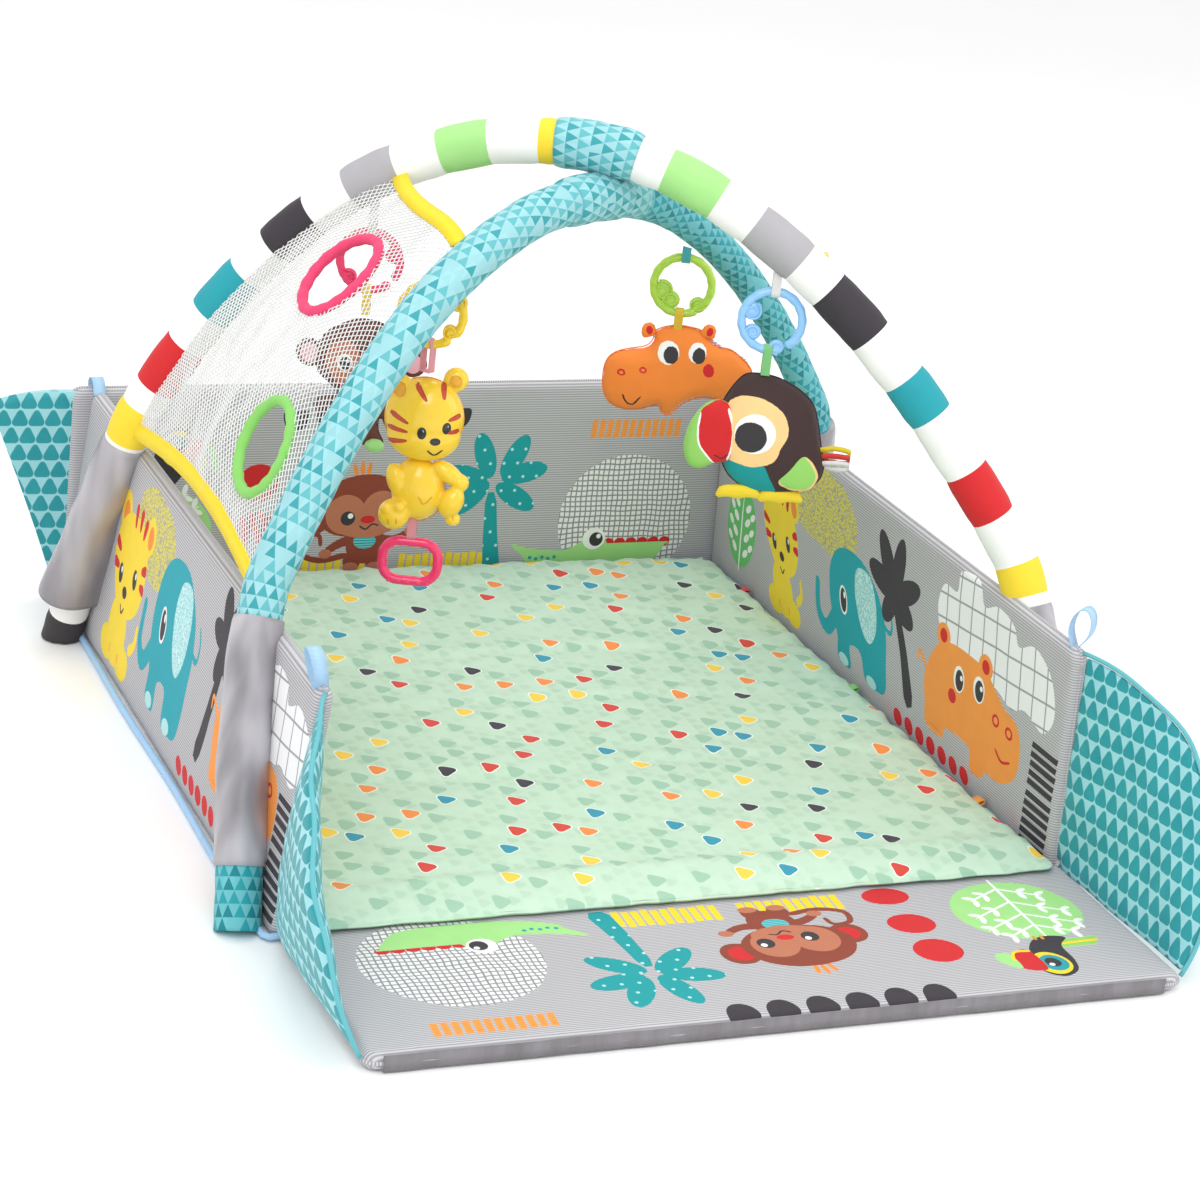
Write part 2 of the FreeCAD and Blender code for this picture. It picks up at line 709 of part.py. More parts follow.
def make_tiger():
    """Two moulded rattle shells, beads, straps and a teether on the lower one."""
    pivot = facing(link_bottom("tiger"))
    width = size("tiger_width")
    solid = padded_figure("tiger_form", "tiger_width", TIGER_LUMPS, pivot)
    doc.recompute()
    form = solid.Shape.copy()
    form.Placement = Placement()
    chamber = Part.makeSphere(width * 0.2, Vector(0, 0, -1.70 * width))
    chamber = chamber.fuse(Part.makeSphere(width * 0.22, Vector(0, 0, -0.86 * width)))
    hollow = form.cut(chamber)
    room = width * 4
    front = Part.makeBox(room, room, room, Vector(-room / 2, -room - GAP / 2, -room))
    back = Part.makeBox(room, room, room, Vector(-room / 2, GAP / 2, -room))
    node(feature("tiger_front_shell", hollow.common(front), pivot))
    node(feature("tiger_back_shell", hollow.common(back), pivot))
    beads = [Part.makeSphere(3.5, Vector(x, 0, -1.80 * width)) for x in (-8, 0, 8)]
    node(feature("tiger_rattle_beads", Part.makeCompound(beads), pivot))
    node(strap_loop("tiger_top_strap", TIGER_STRAP,
                    ring_frame("tiger", link_bottom("tiger"))))
    ring_pivot = facing(link_bottom("tiger") - UP * teether_drop())
    node(strap_loop("tiger_lower_strap", TEETHER_STRAP - GAP, ring_pivot,
                    up=True))
    node(make_teether(ring_pivot))


def teether_drop():
    """How far the teether's pivot hangs below the tiger's own pivot."""
    return TIGER_BASE * size("tiger_width") + TEETHER_STRAP


def make_teether(placement):
    """A rounded rectangular ring whose upper bar passes through the strap."""
    half_w = size("teether_width") / 2
    height, corner = size("teether_height"), 20
    centre = Vector(0, 0, -height / 2)
    across, tall = Vector(half_w, 0, 0), Vector(0, 0, height / 2)
    bend_x, bend_z = Vector(corner, 0, 0), Vector(0, 0, corner)
    edges = []
    diagonal = corner * (1 - math.sqrt(0.5))
    for sx, sz in ((1, 1), (1, -1), (-1, -1), (-1, 1)):
        tip = centre + across * sx + tall * sz
        a, b = tip - bend_x * sx, tip - bend_z * sz
        middle = tip - (Vector(sx, 0, sz) * diagonal)
        edges.append((a, middle, b) if sx * sz > 0 else (b, middle, a))
    wire = []
    for number, (a, middle, b) in enumerate(edges):
        wire.append(Part.Arc(a, middle, b).toShape())
        follow = edges[(number + 1) % 4][0]
        wire.append(Part.LineSegment(b, follow).toShape())
    path = Part.Wire(wire)
    start = edges[0][0]
    ring = Part.Wire(Part.makeCircle(size("teether_tube") / 2 - 1, start, ALONG_X))
    return feature("teether_ring", path.makePipeShell([ring], True, False), placement)


def make_plush(toy):
    pivot = facing(link_bottom(toy))
    form = padded_figure(toy + "_form", toy + "_width", PLUSH[toy], pivot)
    strap = strap_loop(toy + "_strap", PLUSH_STRAP[toy], pivot)
    doc.recompute()
    slot = Part.makeBox(size("strap_width") + 2, 14.4, PLUSH_STRAP[toy] + 1,
                        Vector(-size("strap_width") / 2 - 1, -7.2,
                               -PLUSH_STRAP[toy] - 1))
    shape = form.Shape.copy()
    shape.Placement = Placement()
    node(feature(toy + "_plush", shape.cut(slot), pivot))
    node(strap)


def make_tail_ribbons():
    """A bunch of ribbon loops sewn to the toucan's tail."""
    pivot = facing(link_bottom("toucan"))
    width = size("toucan_width")
    parts = []
    for number, (rise, length) in enumerate(((6, 22), (0, 26), (-6, 20))):
        item = primitive("Box", f"tail_ribbon_{number}", Placement(), Length=str(length),
                         Width=cell("strap_width"), Height="3")
        item.Placement = turned((width * 0.482, -size("strap_width") / 2,
                                 -0.66 * width + rise))
        parts.append(item)
    return combined("Compound", "toucan_tail_ribbons", parts, pivot)


def make_tabs():
    """The ribbon loops on the arches that the link rings hang from."""
    spaces = {arch: feature(arch + "_space", padding_space(arch)) for arch in ARCHES}
    tabs = []
    for toy, point in HANGERS.items():
        frame, length = ring_frame(toy, point), TAB.get(toy, 0) + TAB_TUCK
        if toy == "tiger":
            tilt = math.degrees(math.atan2(TIGER_BEHIND, TIGER_BELOW))
            frame = frame * Placement(Vector(), Rotation(ALONG_X, tilt))
            length = (math.hypot(TIGER_BEHIND, TIGER_BELOW)
                      - size("padding_diameter") / 2 + TAB_TUCK)
        loop = strap_loop(f"loop_of_{toy}", length, frame, up=True)
        arch = "arch_a" if toy in ("tiger", "hippo") else "arch_b"
        tabs.append(combined("Cut", "tab_" + toy, (loop, spaces[arch])))
    return tabs


# ---------------------------------------------------------------- build

node(make_base())
node(make_quilt())
node(make_mat_ribbons())
for wall, (frame, long_cell, tall_cell) in wall_frames().items():
    make_wall(wall, long_cell, tall_cell, frame)
for side_name, side_way in (("left", -1), ("right", 1)):
    node(make_front_gusset(f"front_{side_name}_gusset", side_way))
    node(make_back_gusset(f"back_{side_name}_gusset", side_way))
node(make_corner_loops())
for arch_name in ARCHES:
    make_arch(arch_name)
for place_name in FEET:
    node(make_leg_sleeve(place_name))
    node(make_foot_cuff(place_name))
node(make_wrap())
make_net()
for tab in make_tabs():
    node(tab)
for toy_name in HANGERS:
    node(make_link(toy_name))
make_tiger()
for toy_name in PLUSH:
    make_plush(toy_name)
node(make_tail_ribbons())

doc.recompute()
for item in doc.Objects:
    if {"Invalid", "Error"} & set(item.State):
        raise ValueError(f"{item.Label} did not build: {item.State}")
for item in nodes:
    if item.Shape.isNull() or not item.Shape.isValid():
        raise ValueError(f"{item.Label} has no valid shape")

os.makedirs("parts", exist_ok=True)
for item in nodes:
    item.Shape.exportStep(f"parts/{item.Label}.step")
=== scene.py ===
"""Looks of the activity play gym: padded mat, printed foam walls, soft corner
gussets, crossed padded arches, a ball net and four hanging toys.

Metres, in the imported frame: floor at z 0, +X right, +Y to the back wall, +Z up.
Pictures and toy outlines are drawn in millimetres and scaled by MM.
"""
import json
import math

import bmesh
import bpy
import numpy as np
from mathutils import Matrix, Vector, geometry, noise
from mathutils.bvhtree import BVHTree


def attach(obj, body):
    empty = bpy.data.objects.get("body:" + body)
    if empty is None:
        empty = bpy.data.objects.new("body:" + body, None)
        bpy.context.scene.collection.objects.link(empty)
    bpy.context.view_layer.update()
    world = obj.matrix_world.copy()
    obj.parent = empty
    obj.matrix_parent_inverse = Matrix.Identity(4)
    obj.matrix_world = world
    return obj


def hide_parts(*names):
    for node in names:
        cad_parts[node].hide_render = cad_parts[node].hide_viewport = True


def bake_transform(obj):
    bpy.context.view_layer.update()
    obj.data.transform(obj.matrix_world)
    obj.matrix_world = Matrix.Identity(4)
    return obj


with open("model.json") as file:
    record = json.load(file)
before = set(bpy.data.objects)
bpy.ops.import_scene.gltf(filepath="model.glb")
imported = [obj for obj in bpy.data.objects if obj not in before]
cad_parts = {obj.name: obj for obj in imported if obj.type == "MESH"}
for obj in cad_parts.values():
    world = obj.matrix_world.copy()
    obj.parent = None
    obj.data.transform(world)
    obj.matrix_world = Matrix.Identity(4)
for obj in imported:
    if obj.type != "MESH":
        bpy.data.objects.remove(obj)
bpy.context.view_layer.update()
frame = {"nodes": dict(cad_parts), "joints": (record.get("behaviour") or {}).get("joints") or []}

MM = 0.001
UP = Vector((0, 0, 1))
PIVOTS = {joint["name"]: tuple(round(value / MM, 3) for value in joint["pos_m"])
          for joint in frame["joints"]}


def above_pivot(joint, rise=0):
    """The point this far above a joint, in millimetres."""
    x, y, z = PIVOTS[joint]
    return x, y, z + rise


# ------------------------------------------------------------------ camera

AZIMUTH, ELEVATION, ROLL = map(math.radians, (-24.32, 20.84, 6.69))
LENS = 95.8
TARGET = Vector((0.0910, 0.0580, 0.1233))
DISTANCE = 3.507


def make_camera():
    """A long lens from the front left, a little above, rolled clockwise."""
    back = Vector((math.sin(AZIMUTH) * math.cos(ELEVATION),
                   -math.cos(AZIMUTH) * math.cos(ELEVATION), math.sin(ELEVATION)))
    right = (-back).cross(UP).normalized()
    upward = back.cross(right)
    turned_right = math.cos(ROLL) * right + math.sin(ROLL) * upward
    turned_up = -math.sin(ROLL) * right + math.cos(ROLL) * upward
    camera = bpy.data.objects.new("camera", bpy.data.cameras.new("camera"))
    bpy.context.scene.collection.objects.link(camera)
    basis = Matrix((turned_right, turned_up, back)).transposed().to_4x4()
    basis.translation = TARGET + back * DISTANCE
    camera.matrix_world = basis
    camera.data.lens = LENS
    camera.data.sensor_width = 36
    bpy.context.scene.camera = camera


def make_light(name, place, aim, size, power, colour=(1, 1, 1)):
    lamp = bpy.data.lights.new(name, "AREA")
    lamp.size = size
    lamp.energy = power
    lamp.color = colour
    item = bpy.data.objects.new(name, lamp)
    item.location = place
    item.rotation_euler = (Vector(aim) - Vector(place)).to_track_quat("-Z", "Y").to_euler()
    bpy.context.scene.collection.objects.link(item)


def make_studio():
    world = bpy.data.worlds.new("studio")
    bpy.context.scene.world = world
    world.use_nodes = True
    background = world.node_tree.nodes["Background"]
    background.inputs["Color"].default_value = (1, 1, 1, 1)
    background.inputs["Strength"].default_value = 0.95
    make_light("key", (-1.6, -2.6, 3.0), (0, 0, 0.2), 2.4, 60)
    make_light("fill", (2.8, -1.8, 2.0), (0, 0, 0.2), 2.6, 22)
    make_light("top", (0.2, 0.8, 3.4), (0, 0, 0.1), 2.0, 28)
    bpy.context.scene.view_settings.view_transform = "Standard"


# --------------------------------------------------------------- materials

class Look:
    """A material's node tree, with short calls for the nodes used here."""

    def __init__(self, name, roughness=0.8, sheen=0.0, coat=0.0, subsurface=0.0):
        self.material = bpy.data.materials.new(name)
        self.material.use_nodes = True
        self.tree = self.material.node_tree
        self.shader = self.tree.nodes["Principled BSDF"]
        self.shader.inputs["Roughness"].default_value = roughness
        self.shader.inputs["Sheen Weight"].default_value = sheen
        self.shader.inputs["Sheen Roughness"].default_value = 0.4
        self.shader.inputs["Coat Weight"].default_value = coat
        self.shader.inputs["Coat Roughness"].default_value = 0.08
        self.shader.inputs["Subsurface Weight"].default_value = subsurface
        self.shader.inputs["Subsurface Scale"].default_value = 0.01

    def node(self, kind, **values):
        item = self.tree.nodes.new("ShaderNode" + kind)
        for key, value in values.items():
            setattr(item, key, value)
        return item

    def put(self, value, socket):
        if isinstance(value, bpy.types.NodeSocket):
            self.tree.links.new(value, socket)
        else:
            socket.default_value = value

    def math(self, operation, *values):
        item = self.node("Math", operation=operation)
        for socket, value in zip(item.inputs, values):
            self.put(value, socket)
        return item.outputs[0]

    def mix(self, share, first, second):
        item = self.node("Mix", data_type="RGBA")
        for index, value in ((0, share), (6, first), (7, second)):
            if isinstance(value, tuple):
                value = (*value, 1)
            self.put(value, item.inputs[index])
        return item.outputs[2]

    def split(self, vector):
        item = self.node("SeparateXYZ")
        self.put(vector, item.inputs[0])
        return item.outputs[0], item.outputs[1], item.outputs[2]

    def join(self, x, y, z=0.0):
        item = self.node("CombineXYZ")
        for socket, value in zip(item.inputs, (x, y, z)):
            self.put(value, socket)
        return item.outputs[0]

    def cloth_uv(self):
        item = self.node("UVMap", uv_map="cloth")
        return self.split(item.outputs[0])[:2]

    def place(self):
        return self.node("TexCoord").outputs["Object"]

    def noise(self, vector, scale, detail=2.0):
        item = self.node("TexNoise")
        self.put(vector, item.inputs["Vector"])
        item.inputs["Scale"].default_value = scale
        item.inputs["Detail"].default_value = detail
        return item.outputs["Fac"]

    def random(self, vector):
        item = self.node("TexWhiteNoise", noise_dimensions="3D")
        self.put(vector, item.inputs["Vector"])
        return item.outputs["Value"]

    def lattice(self, u, v, wide, tall):
        """Staggered cells: x from -0.5 and y from 0 in a cell, its column and row."""
        rows = self.math("DIVIDE", v, tall)
        row = self.math("FLOOR", rows)
        shift = self.math("MULTIPLY", self.math("MODULO", row, 2.0), 0.5)
        across = self.math("ADD", self.math("DIVIDE", u, wide), shift)
        x = self.math("SUBTRACT", self.math("FRACT", across), 0.5)
        return x, self.math("FRACT", rows), self.math("FLOOR", across), row

    def steps(self, value, low, high):
        """0 below low, 1 above high, smooth between."""
        item = self.node("MapRange", interpolation_type="SMOOTHSTEP")
        for socket, number in zip(item.inputs, (value, low, high, 0.0, 1.0)):
            self.put(number, socket)
        return item.outputs[0]

    def bump(self, height, distance, strength=1.0, normal=None):
        item = self.node("Bump")
        item.inputs["Strength"].default_value = strength
        item.inputs["Distance"].default_value = distance
        self.put(height, item.inputs["Height"])
        if normal is not None:
            self.put(normal, item.inputs["Normal"])
        return item.outputs[0]

    def finish(self, colour, normal=None):
        self.put((*colour, 1) if isinstance(colour, tuple) else colour,
                 self.shader.inputs["Base Color"])
        if normal is not None:
            self.put(normal, self.shader.inputs["Normal"])
        return self.material


def shade(colour, factor):
    return tuple(min(1.0, channel * factor) for channel in colour)


def woven(look, colour, pitch=0.0011, crease=0.0012, scale=16, depth=0.00012):
    """Cloth surface: a fine plain weave, soft creases and uneven dye."""
    u, v = look.cloth_uv()
    turns = 2 * math.pi / pitch
    across = look.math("SINE", look.math("MULTIPLY", u, turns))
    along = look.math("SINE", look.math("MULTIPLY", v, turns))
    weave = look.math("MULTIPLY", across, along)
    place = look.place()
    folds = look.noise(place, scale, 3.0)
    normal = look.bump(folds, crease, 0.9)
    normal = look.bump(weave, depth, 0.6, normal)
    if isinstance(colour, tuple):
        tone = look.noise(place, 45, 2.0)
        colour = look.mix(tone, shade(colour, 0.95), shade(colour, 1.05))
    return look.finish(colour, normal)


_made = {}


def once(name, make):
    """The material of this name, made the first time that it is asked for."""
    if name not in _made:
        _made[name] = make(name)
    return _made[name]


INKS = {
    "white": (0.90, 0.90, 0.88), "black": (0.035, 0.03, 0.035),
    "charcoal": (0.034, 0.028, 0.036), "teal": (0.0, 0.30, 0.31),
    "sky_teal": (0.01, 0.33, 0.39), "pale_teal": (0.42, 0.74, 0.74),
    "yellow": (0.90, 0.66, 0.03), "lemon": (0.88, 0.66, 0.015),
    "orange": (0.86, 0.26, 0.03), "pale_orange": (0.90, 0.31, 0.05),
    "red": (0.62, 0.010, 0.014), "brown": (0.26, 0.045, 0.02),
    "tan": (0.50, 0.17, 0.09), "green": (0.13, 0.52, 0.15),
    "leaf": (0.36, 0.72, 0.24), "cream": (0.93, 0.62, 0.27),
    "lime": (0.29, 0.62, 0.13), "dark_brown": (0.045, 0.02, 0.02),
    "pink": (0.80, 0.05, 0.16), "pale_pink": (0.88, 0.45, 0.55),
    "grey": (0.40, 0.39, 0.41), "aqua": (0.0, 0.34, 0.41),
    "hem_teal": (0.12, 0.45, 0.50), "rim_green": (0.24, 0.60, 0.13),
    "plush_orange": (0.90, 0.24, 0.03), "plush_brown": (0.13, 0.035, 0.025),
}


def ink(name):
    """One printed or dyed colour on woven cloth."""
    return once("ink_" + name, lambda label: woven(Look(label, 0.75, 0.05), INKS[name]))


def striped_grey(label):
    """Grey wall cloth with fine woven stripes along the wall."""
    look = Look(label, 0.85, 0.05)
    _, v = look.cloth_uv()
    wave = look.math("SINE", look.math("MULTIPLY", v, 2 * math.pi / 0.0029))
    share = look.steps(wave, -0.5, 0.6)
    colour = look.mix(share, (0.33, 0.325, 0.34), (0.57, 0.56, 0.58))
    return woven(look, colour, crease=0.0022, scale=9)


def hatched(label, paper, thread, pitch, width, angle=0.0, waver=1.4):
    """Uneven crossed lines of one colour on another."""
    look = Look(label, 0.8, 0.05)
    u, v = look.cloth_uv()
    c, s = math.cos(angle), math.sin(angle)
    place = look.place()
    drift = look.math("MULTIPLY", look.noise(place, 22, 1.0), pitch * waver)
    turned_u = look.math("ADD", look.math("MULTIPLY", u, c), look.math("MULTIPLY", v, s))
    turned_v = look.math("SUBTRACT", look.math("MULTIPLY", v, c),
                         look.math("MULTIPLY", u, s))
    masks = []
    for value in (turned_u, turned_v):
        phase = look.math("FRACT", look.math(
            "DIVIDE", look.math("ADD", value, drift), pitch))
        edge = look.math("ABSOLUTE", look.math("SUBTRACT", phase, 0.5))
        masks.append(look.steps(edge, width, width + 0.08))
    share = look.math("MAXIMUM", *masks)
    return woven(look, look.mix(share, paper, thread))


def white_hatch(label):
    return hatched(label, (0.83, 0.83, 0.82), (0.27, 0.265, 0.28), pitch=0.0068,
                   width=0.33)


def cloud_grid(label):
    return hatched(label, (0.86, 0.86, 0.87), (0.22, 0.22, 0.24), pitch=0.027,
                   width=0.425, angle=0.1, waver=0.06)


def yellow_scribble(label):
    """A loose scribble of yellow over the grey wall."""
    look = Look(label, 0.8, 0.05)
    u, v = look.cloth_uv()
    cells = look.node("TexVoronoi", feature="DISTANCE_TO_EDGE")
    look.put(look.join(u, v), cells.inputs["Vector"])
    cells.inputs["Scale"].default_value = 210
    share = look.steps(cells.outputs["Distance"], 0.05, 0.13)
    return woven(look, look.mix(share, (0.36, 0.34, 0.30), (0.74, 0.66, 0.06)))


DOT_PITCH = 0.0175


def dotted_teal(label):
    """Teal with a lattice of small pale dots."""
    look = Look(label, 0.78, 0.05)
    x, y, _, _ = look.lattice(*look.cloth_uv(), DOT_PITCH, DOT_PITCH)
    y = look.math("SUBTRACT", y, 0.5)
    away = look.math("SQRT", look.math("ADD", look.math("MULTIPLY", x, x),
                                       look.math("MULTIPLY", y, y)))
    share = look.steps(away, 0.09, 0.13)
    return woven(look, look.mix(share, (0.45, 0.78, 0.78), (0.0, 0.32, 0.34)))


def chalk_stripes(name, first, second, pitch):
    """Two tones in uneven thin stripes, such as a plush belly."""
    def make(label):
        look = Look(label, 0.8, 0.05)
        _, v = look.cloth_uv()
        wobble = look.math("MULTIPLY", look.noise(look.place(), 70, 1.0), pitch)
        wave = look.math("SINE", look.math("MULTIPLY", look.math("ADD", v, wobble),
                                           2 * math.pi / pitch))
        return woven(look, look.mix(look.steps(wave, -0.2, 0.4), first, second))
    return once(name, make)


def ear_speckle(label):
    look = Look(label, 0.8, 0.05)
    flecks = look.noise(look.place(), 420, 2.0)
    return woven(look, look.mix(look.steps(flecks, 0.42, 0.6),
                                (0.28, 0.62, 0.64), (0.62, 0.84, 0.84)))


def drop_field(look, u, v, wide, tall):
    """Rounded drops in staggered rows, each with its tip towards higher v.

    Returns the distance-like field, 0 at a drop's middle, its column and its row.
    """
    x, y, column, row = look.lattice(u, v, wide, tall)
    y = look.math("SUBTRACT", y, 0.42)
    raised = look.math("MULTIPLY", y, 0.50)
    total = look.math("POWER", look.math("MAXIMUM", look.math(
        "MULTIPLY", y, -0.95), 0.0), 2.0)
    for way in (0.88, -0.88):
        side = look.math("MAXIMUM", look.math(
            "ADD", look.math("MULTIPLY", x, way), raised), 0.0)
        total = look.math("ADD", total, look.math("POWER", side, 2.0))
    inside = look.math("POWER", total, 1 / 2.0)
    return inside, column, row


def drop_cloth(label):
    """Pale aqua gusset cloth printed with teal drops."""
    look = Look(label, 0.5, 0.15)
    u, v = look.cloth_uv()
    field, _, _ = drop_field(look, u, v, 0.0185, 0.0205)
    mask = look.steps(field, 0.385, 0.365)
    tone = look.noise(look.place(), 30, 2.0)
    drops = look.mix(tone, (0.0, 0.24, 0.28), (0.02, 0.36, 0.40))
    ground = look.mix(tone, (0.26, 0.60, 0.65), (0.37, 0.70, 0.74))
    return woven(look, look.mix(mask, ground, drops), crease=0.004, scale=13)


def mat_cloth(label):
    """Light green cloth: faint overlapping drops, and scattered bright ones."""
    look = Look(label, 0.62, 0.1)
    u, v = look.cloth_uv()
    field, column, row = drop_field(look, v, u, 0.0165, 0.0150)
    tone = look.random(look.join(column, row, 4.0))
    light = look.mix(tone, (0.45, 0.64, 0.48), (0.56, 0.75, 0.59))
    ground = look.mix(tone, (0.52, 0.71, 0.54), (0.55, 0.74, 0.57))
    colour = look.mix(look.steps(field, 0.33, 0.27), ground, light)
    field, column, row = drop_field(look, v, u, 0.0262, 0.0235)
    place = look.math("ADD", look.math("MULTIPLY", column, 2.0),
                      look.math("MULTIPLY", row, 3.0))
    stray = look.math("LESS_THAN", look.random(look.join(column, row, 3.0)), 0.3)
    pick = look.math("FLOORED_MODULO", look.math("ADD", place, stray), 7.0)
    tone = look.random(look.join(column, row, 9.0))
    bright = (0.035, 0.03, 0.045)
    for limit, paint in ((0.84, (0.02, 0.30, 0.42)), (0.64, (0.92, 0.62, 0.06)),
                         (0.42, (0.88, 0.27, 0.05)), (0.22, (0.66, 0.05, 0.03))):
        bright = look.mix(look.math("LESS_THAN", tone, limit), bright, paint)
    chosen = look.math("LESS_THAN", pick, 0.5)
    green = look.math("SUBTRACT", look.math("LESS_THAN", pick, 2.5), chosen)
    drop = look.steps(field, 0.305, 0.292)
    ring = look.steps(field, 0.35, 0.335)
    colour = look.mix(look.math("MULTIPLY", drop, green), colour, (0.34, 0.56, 0.41))
    colour = look.mix(look.math("MULTIPLY", ring, chosen), colour, (0.86, 0.92, 0.84))
    colour = look.mix(look.math("MULTIPLY", drop, chosen), colour, bright)
    return woven(look, colour, crease=0.003, scale=14)


TRIANGLE = 0.0125


def triangle_cloth(name, tones, pitch=TRIANGLE):
    """Rows of triangles in three tones round a padded tube."""
    def make(label):
        look = Look(label, 0.7, 0.1)
        x, y, column, row = look.lattice(*look.cloth_uv(), pitch, pitch)
        side = look.math("ABSOLUTE", x)
        pointed = look.math("ADD", side, look.math("MULTIPLY", y, 0.5))
        inside = look.steps(pointed, 0.5, 0.475)
        pick = look.random(look.join(column, row, 1.0))
        other = look.random(look.join(column, row, 7.0))
        dark, middle, pale = tones
        up = look.mix(look.steps(pick, 0.28, 0.3), dark, middle)
        up = look.mix(look.steps(pick, 0.82, 0.84), up, pale)
        down = look.mix(look.steps(other, 0.72, 0.74), pale, shade(pale, 1.06))
        return woven(look, look.mix(inside, down, up), crease=0.0016, scale=20)
    return once(name, make)


# The first palette is the cloth's lit tones; the second is the same cloth darkened, painted
# shade for the far half of arch A and for arch A's foot cuffs.
LIGHT_TRIANGLES = ((0.03, 0.32, 0.36), (0.11, 0.44, 0.48), (0.30, 0.59, 0.63))
SHADED_TRIANGLES = ((0.0, 0.21, 0.25), (0.01, 0.31, 0.36), (0.13, 0.47, 0.51))


def satin(label):
    """Smooth silver-grey satin with long soft folds; its colour runs darker and paler across the
    folds as painted shade and highlight.
    """
    look = Look(label, 0.27, 0.05, coat=0.12)
    place = look.place()
    x, y, z = look.split(place)
    folds = look.noise(look.join(look.math("MULTIPLY", x, 3.0),
                                 look.math("MULTIPLY", y, 3.0),
                                 look.math("MULTIPLY", z, 0.5)), 11, 1.5)
    # Dark and pale tones across the folds: painted shade and painted highlight.
    colour = look.mix(look.steps(folds, 0.22, 0.82), (0.22, 0.205, 0.225),
                      (0.50, 0.48, 0.51))
    return woven(look, colour, pitch=0.0007, crease=0.012, scale=7, depth=0.00005)


def dark_satin(label):
    """Deeper grey satin with short creases across its length; its colour runs darker and paler
    with the creases as painted shade and highlight.
    """
    look = Look(label, 0.4, 0.2)
    x, y, z = look.split(look.place())
    folds = look.noise(look.join(look.math("MULTIPLY", x, 4.0), y, z), 20, 3.0)
    colour = look.mix(folds, (0.13, 0.12, 0.13), (0.27, 0.255, 0.275))
    return woven(look, colour, crease=0.002, scale=40)


RIB_PITCH = 0.0012


def ribbon_cloth(name, colour, solid=False):
    """Ribbed grosgrain ribbon. A CAD solid has no map, so its ribs follow z."""
    def make(label):
        look = Look(label, 0.55, 0.2)
        along = look.split(look.place())[2] if solid else look.cloth_uv()[1]
        dark, pale = (0.85, 1.05) if solid else (0.86, 1.06)
        ribs = look.math("SINE", look.math("MULTIPLY", along, 2 * math.pi / RIB_PITCH))
        # Each rib darker in its trough and paler on its crest: painted shade and painted
        # highlight.
        tone = look.mix(look.steps(ribs, -1.0, 1.0), shade(colour, dark),
                        shade(colour, pale))
        return look.finish(tone, look.bump(ribs, 0.0002, 0.8))
    return once(name, make)


def plastic(name, colour, roughness=0.22):
    """Moulded plastic with a faint orange-peel surface."""
    def make(label):
        look = Look(label, roughness, coat=0.35, subsurface=0.05)
        place = look.place()
        tone = look.mix(look.noise(place, 30, 2.0), shade(colour, 0.97),
                        shade(colour, 1.03))
        return look.finish(tone, look.bump(look.noise(place, 240, 2.0), 0.00012, 0.35))
    return once(name, make)


PLASTICS = {"yellow": (0.95, 0.62, 0.02), "pink": (0.86, 0.03, 0.15),
            "green": (0.42, 0.66, 0.06), "blue": (0.27, 0.55, 0.90),
            "red": (0.72, 0.03, 0.02), "black": (0.02, 0.018, 0.02),
            "white": (0.9, 0.9, 0.9)}


# ------------------------------------------------------------------ meshes

def piece(name, verts, faces, materials, picks=None, uvs=None):
    """A mesh object; uvs are one pair of metres per vertex."""
    mesh = bpy.data.meshes.new(name)
    mesh.from_pydata([tuple(v) for v in verts], [], faces)
    for material in materials:
        mesh.materials.append(material)
    if picks is not None:
        mesh.polygons.foreach_set("material_index", np.array(picks, np.int32))
    if uvs is not None:
        layer = mesh.uv_layers.new(name="cloth")
        loops = np.zeros(len(mesh.loops), np.int32)
        mesh.loops.foreach_get("vertex_index", loops)
        layer.data.foreach_set("uv", np.asarray(uvs, np.float32)[loops].ravel())
    mesh.polygons.foreach_set("use_smooth", np.full(len(mesh.polygons), True))
    mesh.update()
    item = bpy.data.objects.new(name, mesh)
    bpy.context.scene.collection.objects.link(item)
    return item


def settle(item, body, slot, *nodes):
    """The piece rides on a body and stands for CAD nodes; slot is not used."""
    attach(item, body)
    if nodes:
        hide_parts(*nodes)
    return item


def catmull(points, per=8, closed=False):
    """A smooth line through the points."""
    pts = [Vector(p) for p in points]
    count = len(pts)
    out = []
    spans = count if closed else count - 1
    for i in range(spans):
        if closed:
            a, b, c, d = (pts[(i + k) % count] for k in (-1, 0, 1, 2))
        else:
            b, c = pts[i], pts[i + 1]
            a = pts[i - 1] if i else b * 2 - c
            d = pts[i + 2] if i + 2 < count else c * 2 - b
        for k in range(per):
            t = k / per
            out.append(0.5 * ((2 * b) + (c - a) * t + (2 * a - 5 * b + 4 * c - d) * t ** 2
                              + (3 * b - a - 3 * c + d) * t ** 3))
    if not closed:
        out.append(pts[-1])
    return out


def bspline(points, per=10):
    """The smooth line that touches the middle of every run of the route."""
    pts = [Vector(p) for p in points]
    out = []
    for i in range(1, len(pts) - 1):
        a = pts[0] if i == 1 else (pts[i - 1] + pts[i]) / 2
        b = pts[-1] if i == len(pts) - 2 else (pts[i] + pts[i + 1]) / 2
        for k in range(per):
            t = k / per
            out.append((1 - t) ** 2 * a + 2 * t * (1 - t) * pts[i] + t ** 2 * b)
    out.append(pts[-1])
    return out


def resample(points, step):
    """Points along a line at an even spacing near the step."""
    lengths = [0.0]
    for a, b in zip(points, points[1:]):
        lengths.append(lengths[-1] + (b - a).length)
    count = max(2, round(lengths[-1] / step))
    out, at = [], 0
    for k in range(count + 1):
        target = lengths[-1] * k / count
        while at < len(points) - 2 and lengths[at + 1] < target:
            at += 1
        span = max(lengths[at + 1] - lengths[at], 1e-9)
        out.append(points[at].lerp(points[at + 1], (target - lengths[at]) / span))
    return out


